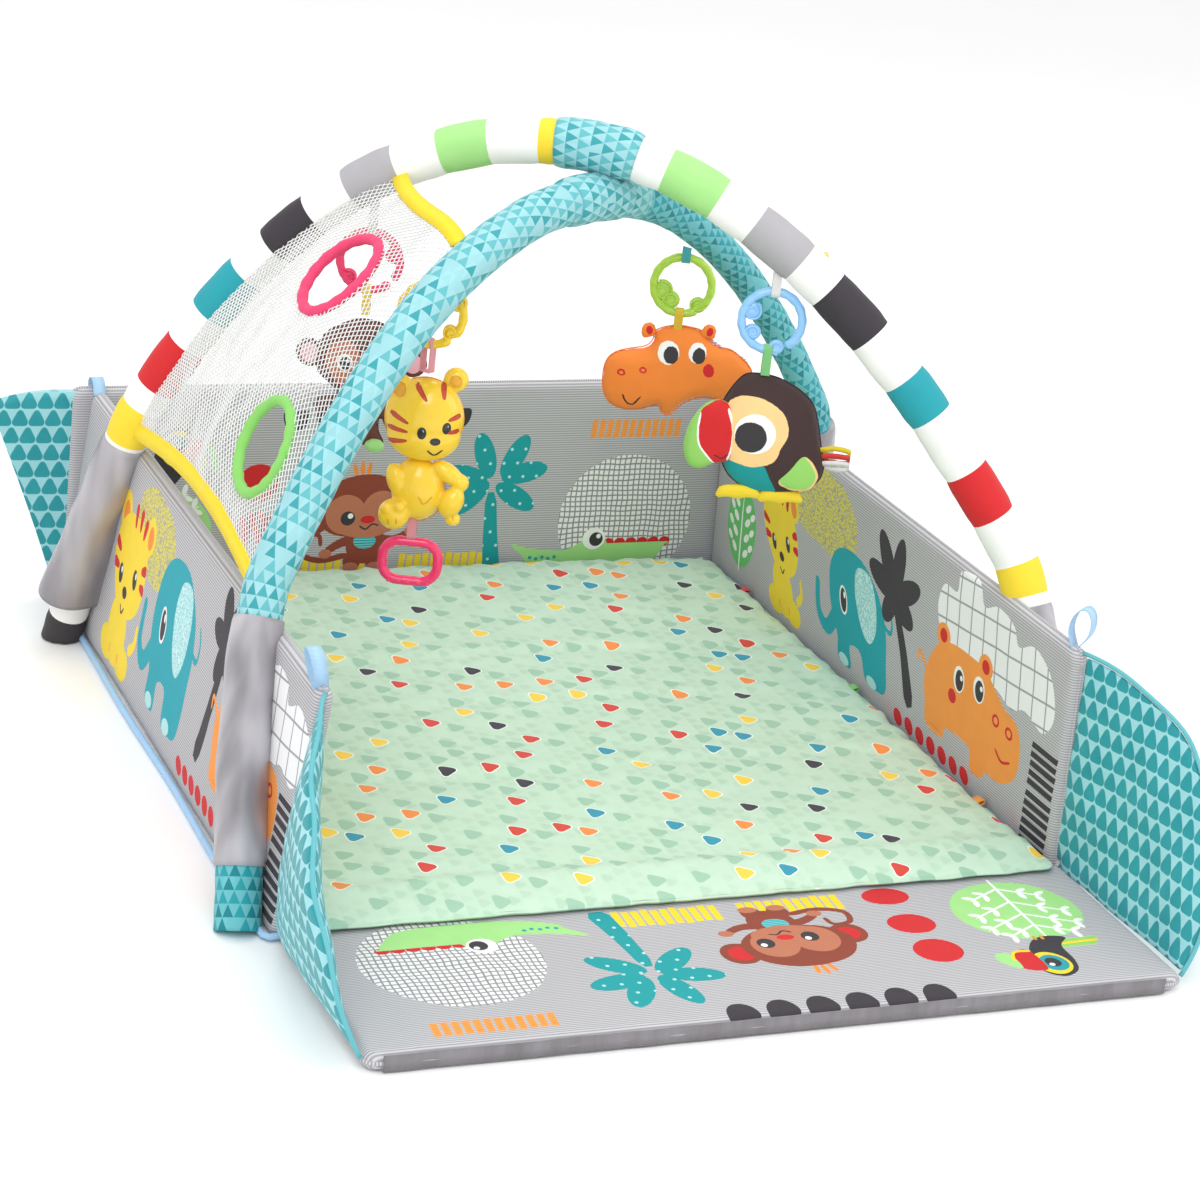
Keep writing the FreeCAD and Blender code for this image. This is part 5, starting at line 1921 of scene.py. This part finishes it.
def soft_toy(name, body, node, pivot, outline, front, ground, thick, slot,
             seam_ink, seed):
    """A printed stuffed toy: two sewn faces, swollen, with a corded seam."""
    place = toy_place(pivot)
    outline = anticlockwise(even_line(outline, 3.2))
    height = stuffed_height(outline, thick)

    def point(x, y, side, d):
        lift = height(x, y) * min(1.0, d / 1.6) if d > 0.05 else 0.0
        pucker = 0.9 * ripple(x, y, side * 9, 7, seed) * math.exp(-d / 5)
        soft = 0.7 * ripple(x, y, side * 4, 22, seed)
        lift += min(1.0, d / 3) * (pucker + soft)
        return place(x, y, side * lift)

    parts, picks, materials = two_faces(outline, front, [], 3.4, ground, point)
    verts, faces, uvs, _ = merged(parts)
    item = piece(name, verts, faces, materials, picks, uvs)
    weld(item, 2e-6)
    swell_cloth(item, 2.5, 0.0025, 12)
    soften(item)
    settle(item, body, slot, node)
    cord = [place(x, y, 0) for x, y in outline]
    tube = tube_mesh(resample(cord + cord[:1], 1.6 * MM)[:-1], 0.75 * MM, 6, closed=True)
    seam = piece(name + "_seam", *tube[:2], [ink(seam_ink)], uvs=tube[2])
    settle(seam, body, slot)
    return item


def small_part(name, body, pivot, outline, shapes, ground, thick, slot, at,
               turn=(0, 0, 0), rounded=True):
    """A small stuffed ear, wing or foot, turned about its own base point."""
    place = toy_place(pivot)
    outline = anticlockwise(even_line(outline, 2.6))
    height = stuffed_height(outline, thick, 1.0, 200)
    spin = Matrix.Rotation(math.radians(turn[0]), 3, "X") \
        @ Matrix.Rotation(math.radians(turn[1]), 3, "Y") \
        @ Matrix.Rotation(math.radians(turn[2]), 3, "Z")

    def point(x, y, side, d):
        lift = height(x, y) * min(1.0, d / 1.2) if d > 0.05 else 0.0
        p = spin @ Vector((x, y, side * lift))
        return place(at[0] + p.x, at[1] + p.y, at[2] + p.z)

    parts, picks, materials = two_faces(outline, shapes, [], 3.0, ground, point)
    verts, faces, uvs, _ = merged(parts)
    item = piece(name, verts, faces, materials, picks, uvs)
    weld(item, 2e-6)
    if rounded:
        soften(item)
    return settle(item, body, slot)


def lumps(name, place, shapes, material, voxel=1.5, rounds=3):
    """Moulded form: overlapping lumps joined, remeshed and smoothed."""
    work = bmesh.new()
    for (x, y, w), (rx, ry, rw), turn in shapes:
        made = bmesh.ops.create_icosphere(work, subdivisions=4, radius=1.0)
        c, s = math.cos(math.radians(turn)), math.sin(math.radians(turn))
        for vertex in made["verts"]:
            px, py, pw = (vertex.co.x * rx, vertex.co.y * ry, vertex.co.z * rw)
            vertex.co = place(x + px * c - py * s, y + px * s + py * c, w + pw)
    mesh = bpy.data.meshes.new(name)
    work.to_mesh(mesh)
    work.free()
    item = bpy.data.objects.new(name, mesh)
    bpy.context.scene.collection.objects.link(item)
    remesh = item.modifiers.new("join", "REMESH")
    remesh.mode = "VOXEL"
    remesh.voxel_size = voxel * MM
    smooth = item.modifiers.new("round", "SMOOTH")
    smooth.factor = 0.6
    smooth.iterations = rounds
    shown = item.evaluated_get(bpy.context.evaluated_depsgraph_get())
    whole = bpy.data.meshes.new_from_object(shown)
    item.modifiers.clear()
    item.data = whole
    whole.name = name
    whole.materials.clear()
    whole.materials.append(material)
    whole.polygons.foreach_set("use_smooth", np.full(len(whole.polygons), True))
    return item


def marks_on(name, body, target, place, shapes, slot, lift=0.35, front=True):
    """Thin coloured shapes laid on a moulded form's face, by casting rays."""
    mesh = target.data
    tree = BVHTree.FromPolygons([v.co for v in mesh.vertices],
                                [tuple(p.vertices) for p in mesh.polygons])
    way = -TOY_FRONT if front else TOY_FRONT
    parts, picks, materials = [], [], []
    for k, (outline, material) in enumerate(shapes):
        outline = anticlockwise(even_line(outline, 1.6))
        points, triangles, _ = cut_sheet(outline, [], 2.2)
        away = edge_distance(points, outline)
        verts, kept = [], True
        for (x, y), d in zip(points, away):
            start = place(x, y, 80 if front else -80)
            hit = tree.ray_cast(start, way)[0]
            if hit is None:
                kept = False
                break
            rise = lift * min(1.0, 0.15 + d / 1.1) + 0.03 * k
            verts.append(hit - way * rise * MM)
        if not kept:
            continue
        base = [v + way * 1.2 * MM for v in verts]
        count = len(verts)
        rim = [i for i, d in enumerate(away) if d < 0.02]
        order = sorted(rim, key=lambda i: next(
            (n for n, q in enumerate(outline)
             if abs(q[0] - points[i][0]) + abs(q[1] - points[i][1]) < 1e-3), 0))
        walls = [(a, b, b + count, a + count)
                 for a, b in zip(order, order[1:] + order[:1])]
        faces = list(triangles) + [tuple(i + count for i in t[::-1]) for t in triangles]
        uvs = [(p[0] * MM, p[1] * MM) for p in points] * 2
        parts.append((verts + base, faces + walls, uvs))
        if material not in materials:
            materials.append(material)
        picks += [materials.index(material)] * (len(faces) + len(walls))
    verts, faces, uvs, _ = merged(parts)
    item = piece(name, verts, faces, materials, picks, uvs)
    return settle(item, body, slot)


def gloss(name):
    return plastic("plastic_" + name, PLASTICS[name])


def make_tiger():
    pivot = above_pivot("tiger_swing", 8)
    place = toy_place(pivot)
    yellow = plastic("plastic_tiger", (0.93, 0.60, 0.03))
    head = [((2, -82, 0), (39.5, 40, 27), 0), ((3, -100, 3), (37, 27, 23), 0),
            ((-25, -54, 0), (13, 13, 9), 0), ((30, -41, 0), (12.5, 12.5, 9), 0)]
    trunk = [((2, -158, 0), (27, 33, 21), 4), ((-18, -150, 8), (11, 19, 11), 24),
             ((31, -137, 6), (18, 9.5, 9.5), -32), ((44, -146, 6), (9, 9, 9), 0),
             ((-19, -184, 12), (16, 16, 13), 0), ((37, -166, 10), (12, 17, 11), -24),
             ((-26, -176, 20), (6, 6, 5), 0), ((-14, -173, 21), (6, 6, 5), 0),
             ((40, -184, 8), (8, 7, 8), 0)]
    body = lumps("tiger_rattle_body", place, trunk, yellow)
    settle(body, "tiger", "yellow_plastic", "tiger_back_shell", "tiger_rattle_beads")
    face = lumps("tiger_rattle_head", place, head, yellow)
    settle(face, "tiger", "yellow_plastic", "tiger_front_shell")
    red = plastic("plastic_stripe", (0.55, 0.05, 0.015))
    black, white = gloss("black"), gloss("white")
    amber = plastic("plastic_amber", (0.80, 0.36, 0.01))
    stripes = [((-8, -46), (4, -60)), ((4, -42), (12, -58)), ((18, -44), (21, -58)),
               ((-31, -76), (-12, -84)), ((-33, -92), (-12, -93)),
               ((-31, -107), (-12, -102)), ((38, -74), (27, -78)), ((38, -90), (27, -91))]
    marks = [(stroke([a, b], 6.4, 3.4), red) for a, b in stripes]
    marks += [(oval(2, -92, 4.6, 6.4), black), (oval(26, -86, 4.2, 6.2), black),
              (oval(3.4, -89.6, 1.5, 1.9), white), (oval(27.2, -83.8, 1.4, 1.8), white),
              (oval(16, -100, 5.2, 3.8), black),
              (stroke([(9, -110), (16, -115), (24, -109)], 1.9, 1.6), black),
              (oval(-25, -54, 7, 7), amber), (oval(30, -41, 6.5, 6.5), amber)]
    marks_on("tiger_rattle_face", "tiger", face, place, marks, "yellow_plastic")
    belly = [(stroke([(4, -160), (10, -168), (18, -160)], 2.0, 1.6), amber),
             (stroke([(-24, -186), (-23, -192)], 1.8, 1.4), amber),
             (stroke([(-16, -184), (-15, -191)], 1.8, 1.4), amber),
             (stroke([(40, -178), (41, -184)], 1.6, 1.3), amber)]
    marks_on("tiger_rattle_belly", "tiger", body, place, belly, "yellow_plastic")
    back = [(stroke([(x, y), (x + 14, y - 3)], 4.6, 2.6), red)
            for x, y in ((-18, -70), (-6, -84), (-18, -98), (-12, -150), (-10, -164))]
    marks_on("tiger_rattle_back", "tiger", face, place, back[:3], "yellow_plastic",
             front=False)
    marks_on("tiger_rattle_rump", "tiger", body, place, back[3:], "yellow_plastic",
             front=False)
    seams = []
    for centre, rx, ry in (((2, -84), 39.4, 42.4), ((3, -160), 27, 33)):
        ring = [place(centre[0] + rx * math.cos(a), centre[1] + ry * math.sin(a), 0)
                for a in (2 * math.pi * k / 60 for k in range(60))]
        seams.append(tube_mesh(ring, 0.55 * MM, 6, closed=True))
    verts, faces, uvs, _ = merged(seams)
    settle(piece("tiger_rattle_seam", verts, faces, [amber], uvs=uvs),
           "tiger", "yellow_plastic")


def make_teether():
    place = toy_place(above_pivot("teether_swing"))
    outline = rounded_rectangle(56, 42, 17, 9)
    ring = [place(x + 1, y - 30, 0) for x, y in even_line(outline, 3)]

    def radius(run, angle):
        return (5.0 + 0.35 * math.sin(run / MM * 0.55) * (math.cos(angle) ** 2)) * MM
    tube = tube_mesh(ring, radius, 20, closed=True)
    item = piece("teether_ring_form", *tube[:2], [gloss("pink")], uvs=tube[2])
    settle(item, "teether", "pink_plastic", "teether_ring")
    tongues = []
    for x in (-20, -10, 0, 10, 20):
        tongues.append(((x + 1, -51.4, 4.2), (2.4, 1.9, 1.5), 0))
    bumps = lumps("teether_ring_bumps", place, tongues, gloss("pink"), 0.7, 1)
    settle(bumps, "teether", "pink_plastic")


def make_hippo():
    pivot = above_pivot("hippo_swing", 7)
    outline = blob((-22, -28), (-5, -21), (15, -21), (27, -24), (44, -38), (60, -41),
                   (74, -50), (85, -62), (82, -75), (70, -88), (57, -98), (44, -97),
                   (30, -99), (18, -105), (10, -113), (3, -121), (-6, -120), (-12, -112),
                   (-30, -118), (-45, -120), (-61, -116), (-71, -104), (-74, -85),
                   (-72, -68), (-64, -58), (-50, -52), (-32, -47), (-25, -39), per=4)
    blue_stripe = chalk_stripes("print_blue_stripe", (0.16, 0.24, 0.48),
                                (0.78, 0.80, 0.84), 0.0026)
    ground = ink("plush_orange")
    front = [(oval(-7, -47, 11.5, 12.5), "white"), (oval(24, -44, 9.5, 11), "white"),
             (oval(-4, -49, 8, 9.5), "black"), (oval(26, -47, 7, 8.5), "black"),
             (oval(38, -62, 6, 7.5, 18), "red"),
             (oval(-55, -75, 4.6, 3.8), "red"), (oval(-55, -75, 2.3, 1.8), "plush_orange"),
             (oval(-32, -69, 4.2, 3.5), "red"), (oval(-32, -69, 2.1, 1.6), "plush_orange"),
             (stroke([(-51, -99), (-46, -108), (-39, -110), (-31, -99)], 2.2, 1.8),
              "dark_brown"),
             (stroke([(-2, -104), (0, -116)], 1.4, 1.2), "orange"),
             (stroke([(36, -86), (44, -95)], 1.4, 1.2), "orange")]
    soft_toy("hippo_plush_cloth", "hippo", "hippo_plush", pivot, outline, front,
             ground, 19, "orange_plush", "plush_orange", 3.1)
    for label, x, y, turn in (("left", -30, -27, 18), ("right", 34, -22, -14)):
        ear = blob((-8, -6), (-8, 4), (-3, 9), (5, 8), (8, 2), (6, -6), per=4)
        small_part(f"hippo_ear_{label}", "hippo", pivot, ear,
                   [(oval(0, 1, 3.6, 4.6), "red")], ground, 3.4, "orange_plush",
                   (x, y - 2, 3), (-10, 12, turn))
    back = blob((-20, -30), (12, -24), (46, -42), (76, -56), (72, -80), (30, -92),
                (-20, -100), (-60, -98), (-66, -72), (-30, -54), per=5)
    small_part("hippo_back_panel", "hippo", pivot, back, [], blue_stripe, 5.0,
               "orange_plush", (4, 0, -14.5), rounded=False)


def make_toucan():
    pivot = above_pivot("toucan_swing")
    body = blob((-22, -30), (-8, -26), (8, -27), (22, -31), (40, -40), (54, -53),
                (62, -74), (68, -98), (73, -116), (71, -132), (60, -143), (42, -150),
                (18, -153), (-4, -150), (-22, -140), (-34, -122), (-42, -98), (-42, -74),
                (-36, -52), per=4)
    ground = ink("dark_brown")
    front = [
        (blob((-34, -104), (-30, -126), (-16, -142), (4, -150), (26, -150), (18, -132),
              (8, -116), (-10, -108)), "teal"),
        (blob((-36, -64), (-27, -50), (-8, -46), (12, -52), (26, -64), (31, -82),
              (25, -98), (20, -112), (4, -120), (-14, -120), (-30, -114), (-38, -92)),
         "cream"),
        (oval(-3, -85, 21.5, 21.5), "white"), (oval(-7, -89, 16.5, 16.5), "black"),
    ]
    soft_toy("toucan_plush_cloth", "toucan", "toucan_plush", pivot, body, front,
             ground, 22, "dark_plush", "dark_brown", 5.4)
    beak = blob((-40, -56), (-30, -62), (-24, -80), (-22, -104), (-26, -120),
                (-40, -124), (-54, -132), (-68, -128), (-75, -108), (-71, -84),
                (-62, -67), (-52, -58), per=4)
    shapes = [(blob((-40, -56), (-30, -62), (-24, -80), (-22, -104), (-26, -120),
                    (-40, -123), (-49, -114), (-59, -102), (-62, -84), (-61, -68),
                    (-50, -58), per=4), "red"),
              (stroke([(-61, -69), (-62, -86), (-59, -102), (-49, -114), (-40, -123)],
                      1.8, 1.6), "white"),
              (stroke([(-33, -62), (-26, -82), (-25, -102), (-28, -118)], 3.0, 2.6),
               "white"),
              (stroke([(-42, -112), (-34, -115), (-28, -110)], 1.8, 1.4), "dark_brown")]
    small_part("toucan_beak", "toucan", pivot, beak, shapes, ink("lime"), 13,
               "dark_plush", (0, 0, 9))
    wing = blob((47, -100), (36, -113), (25, -133), (34, -141), (48, -143), (62, -139),
                (68, -124), (60, -110), per=4)
    feather = moved([(wing, "lime")], 6.5, -17, 0.86, 0.86)
    small_part("toucan_wing", "toucan", pivot, wing, feather, ink("cream"), 5,
               "dark_plush", (0, 0, 16))
    yellow = ink("yellow")
    foot = blob((-15, 6), (-23, -3), (-22, -10), (-10, -9), (0, -11), (10, -9),
                (22, -10), (23, -3), (15, 6), per=4)
    for label, x in (("left", -12), ("right", 32)):
        small_part(f"toucan_foot_{label}", "toucan", pivot, foot, [], yellow, 5,
                   "dark_plush", (x, -152, 6), (16, 0, 5))
    for k, paint in enumerate(("ribbon_yellow2", "ribbon_red2", "ribbon_white")):
        colour = ((0.88, 0.68, 0.02), (0.75, 0.04, 0.03), (0.85, 0.84, 0.82))[k]
        place = toy_place(pivot)
        y = -101 - 7 * k
        route = [place(64 + 2 * k, y, 2), place(82, y + 5 - k, 5), place(98, y + 2, 3),
                 place(96, y - 4, 1), place(80, y - 5, -1), place(64 + 2 * k, y - 3, -2)]
        band = strap_mesh(catmull(route, 6), UP + TOY_FRONT * 0.3, 6.2 * MM, 0.7 * MM)
        item = piece(f"toucan_tail_ribbon_{k + 1}", *band[:2],
                     [ribbon_cloth(paint, colour)], uvs=band[2])
        settle(item, "toucan", "ribbon", *(("toucan_tail_ribbons",) if k == 0 else ()))


def make_monkey():
    pivot = above_pivot("monkey_swing")
    body = blob((-16, -36), (4, -32), (26, -38), (42, -54), (48, -76), (42, -96),
                (26, -108), (22, -118), (38, -122), (44, -132), (34, -140), (24, -138),
                (24, -152), (30, -164), (24, -172), (8, -168), (-2, -160), (-14, -168),
                (-28, -172), (-32, -162), (-24, -150), (-26, -136), (-38, -140),
                (-46, -130), (-38, -120), (-24, -116), (-30, -106), (-44, -94),
                (-48, -74), (-40, -52), per=4)
    brown = ink("plush_brown")
    front = [(oval(-18, -74, 19, 21), "tan"), (oval(18, -74, 19, 21), "tan"),
             (oval(0, -90, 29, 15), "tan"), (oval(-16, -76, 8.5, 9), "white"),
             (oval(17, -76, 8.5, 9), "white"), (oval(-15, -77, 6.2, 6.8), "black"),
             (oval(18, -77, 6.2, 6.8), "black"), (oval(-13, -74, 2, 2), "white"),
             (oval(20, -74, 2, 2), "white"), (oval(1, -86, 6, 4), "red"),
             (stroke([(-8, -95), (1, -99), (10, -94)], 1.8, 1.4), "dark_brown"),
             (oval(0, -136, 15, 16), "belly")]
    soft_toy("monkey_plush_cloth", "monkey", "monkey_plush", pivot, body, front,
             brown, 18, "brown_plush", "plush_brown", 8.3)
    for label, x, turn in (("left", -56, 8), ("right", 56, -8)):
        ear = oval(0, 0, 15, 16)
        small_part(f"monkey_ear_{label}", "monkey", pivot, ear,
                   [(oval(0, 0, 9.5, 10.5), "pale_pink")], brown, 4, "brown_plush",
                   (x * 0.97, -74, 0), (0, 0, turn))
    for label, x in (("left", -24), ("right", 22)):
        foot = oval(0, 0, 11, 8)
        small_part(f"monkey_foot_{label}", "monkey", pivot, foot, [], ink("leaf"), 6,
                   "brown_plush", (x, -166, 9))


LINK_RADIUS, LINK_GAP = 31, 13  # millimetres, and half the gap in degrees
# Colour, middle of the gap in degrees, and each disc's x, y and radius.
LINKS = {
    "tiger": ("yellow", -45, ((25, 14, 9.5), (20, -16, 7.5), (-24, 10, 6.5))),
    "monkey": ("pink", -40, ((24, 8, 9), (-20, -20, 8))),
    "hippo": ("green", -50, ((-20, -8, 11), (-11, -17, 10), (19, -20, 8.5))),
    "toucan": ("blue", -60, ((-21, 8, 9.5), (-18, -14, 8.5), (8, -27, 7.5))),
}


def on_link(degrees):
    """A point of a link ring's middle line."""
    turn = math.radians(degrees)
    return LINK_RADIUS * math.cos(turn), LINK_RADIUS * math.sin(turn), 0


def make_links():
    """Plastic C-rings with spiral discs, beads and a small gap."""
    for name, (colour, gap, discs) in LINKS.items():
        top = Vector(above_pivot(f"{name}_link_swing"))
        place = toy_place(top - Vector((0, 0, LINK_RADIUS)))
        material = gloss(colour)
        start, reach = gap + LINK_GAP, 360 - 2 * LINK_GAP
        ring = [place(*on_link(start + reach * k / 84)) for k in range(85)]

        def size(run, angle):
            return (4.5 + 0.3 * math.sin(run / MM * 0.5)) * MM
        parts = [tube_mesh(ring, size, 18)]
        for x, y, r in discs:
            for depth in (3.2, -3.2):
                spiral = [place(x + r * (0.2 + 0.8 * t) * math.cos(9.5 * t + x),
                                y + r * (0.2 + 0.8 * t) * math.sin(9.5 * t + x), depth)
                          for t in (k / 40 for k in range(41))]
                parts.append(tube_mesh(spiral, 1.15 * MM, 8))
        verts, faces, uvs, _ = merged(parts)
        item = piece(f"link_{name}_ring_form", verts, faces, [material], uvs=uvs)
        settle(item, f"link_{name}", colour + "_plastic", f"link_ring_{name}")
        shapes = [((x, y, 0), (r, r, 3.4), 0) for x, y, r in discs]
        shapes += [(on_link(end), (5, 5, 4.6), 0) for end in (start, gap - LINK_GAP)]
        charm = lumps(f"link_{name}_charms", place, shapes, material, 0.9, 2)
        settle(charm, f"link_{name}", colour + "_plastic")


# The CAD straps and tabs that keep their own shape: material and colour.
STRAPS = {"tiger_top_strap": ("strap_pink", (0.85, 0.35, 0.42)),
          "tiger_lower_strap": ("strap_rose", (0.80, 0.30, 0.36)),
          "monkey_strap": ("strap_yellow", (0.88, 0.66, 0.04)),
          "hippo_strap": ("strap_ochre", (0.78, 0.52, 0.02)),
          "toucan_strap": ("strap_green", (0.20, 0.56, 0.20)),
          "tab_tiger": ("tab_teal", (0.05, 0.40, 0.44)),
          "tab_monkey": ("tab_white", (0.80, 0.80, 0.78)),
          "tab_hippo": ("tab_teal", (0.05, 0.40, 0.44)),
          "tab_toucan": ("tab_white", (0.80, 0.80, 0.78))}


def dress_cad_nodes():
    for node, (label, colour) in STRAPS.items():
        paint(frame["nodes"][node], ribbon_cloth(label, colour, solid=True))
    pole = plastic("pole_white", (0.80, 0.80, 0.80), 0.4)
    steel = once("ferrule_steel", brushed_steel)
    for node, item in frame["nodes"].items():
        if node.endswith("_pole"):
            paint(item, pole)
        elif node.endswith("_ferrule"):
            paint(item, steel)


def brushed_steel(label):
    look = Look(label, 0.3)
    look.shader.inputs["Metallic"].default_value = 1.0
    grain = look.noise(look.place(), 400, 2.0)
    colour = look.mix(grain, (0.55, 0.55, 0.56), (0.70, 0.70, 0.72))
    return look.finish(colour, look.bump(grain, 0.00005, 0.3))


def paint(item, material):
    """The same material in each of a CAD node's slots."""
    if not item.material_slots:
        item.data.materials.append(material)
    for socket in item.material_slots:
        socket.material = material


# ------------------------------------------------------------------- build

def make_floor():
    look = Look("studio_floor", 0.9)
    place = look.place()
    tone = look.mix(look.noise(place, 3.0), (0.93, 0.93, 0.93), (0.96, 0.96, 0.96))
    size = 14.0
    floor = piece("studio_floor", [(-size, -size, 0), (size, -size, 0),
                                   (size, size, 0), (-size, size, 0)],
                  [(0, 1, 2, 3)], [look.finish(tone)])


make_camera()
make_studio()
make_floor()
make_base()
make_quilt()
make_walls()
make_flap_edge()
make_gussets()
make_arch_b()
make_arch_a()
make_wrap()
make_legs()
make_net()
make_loops()
make_links()
make_tiger()
make_teether()
make_hippo()
make_toucan()
make_monkey()
dress_cad_nodes()
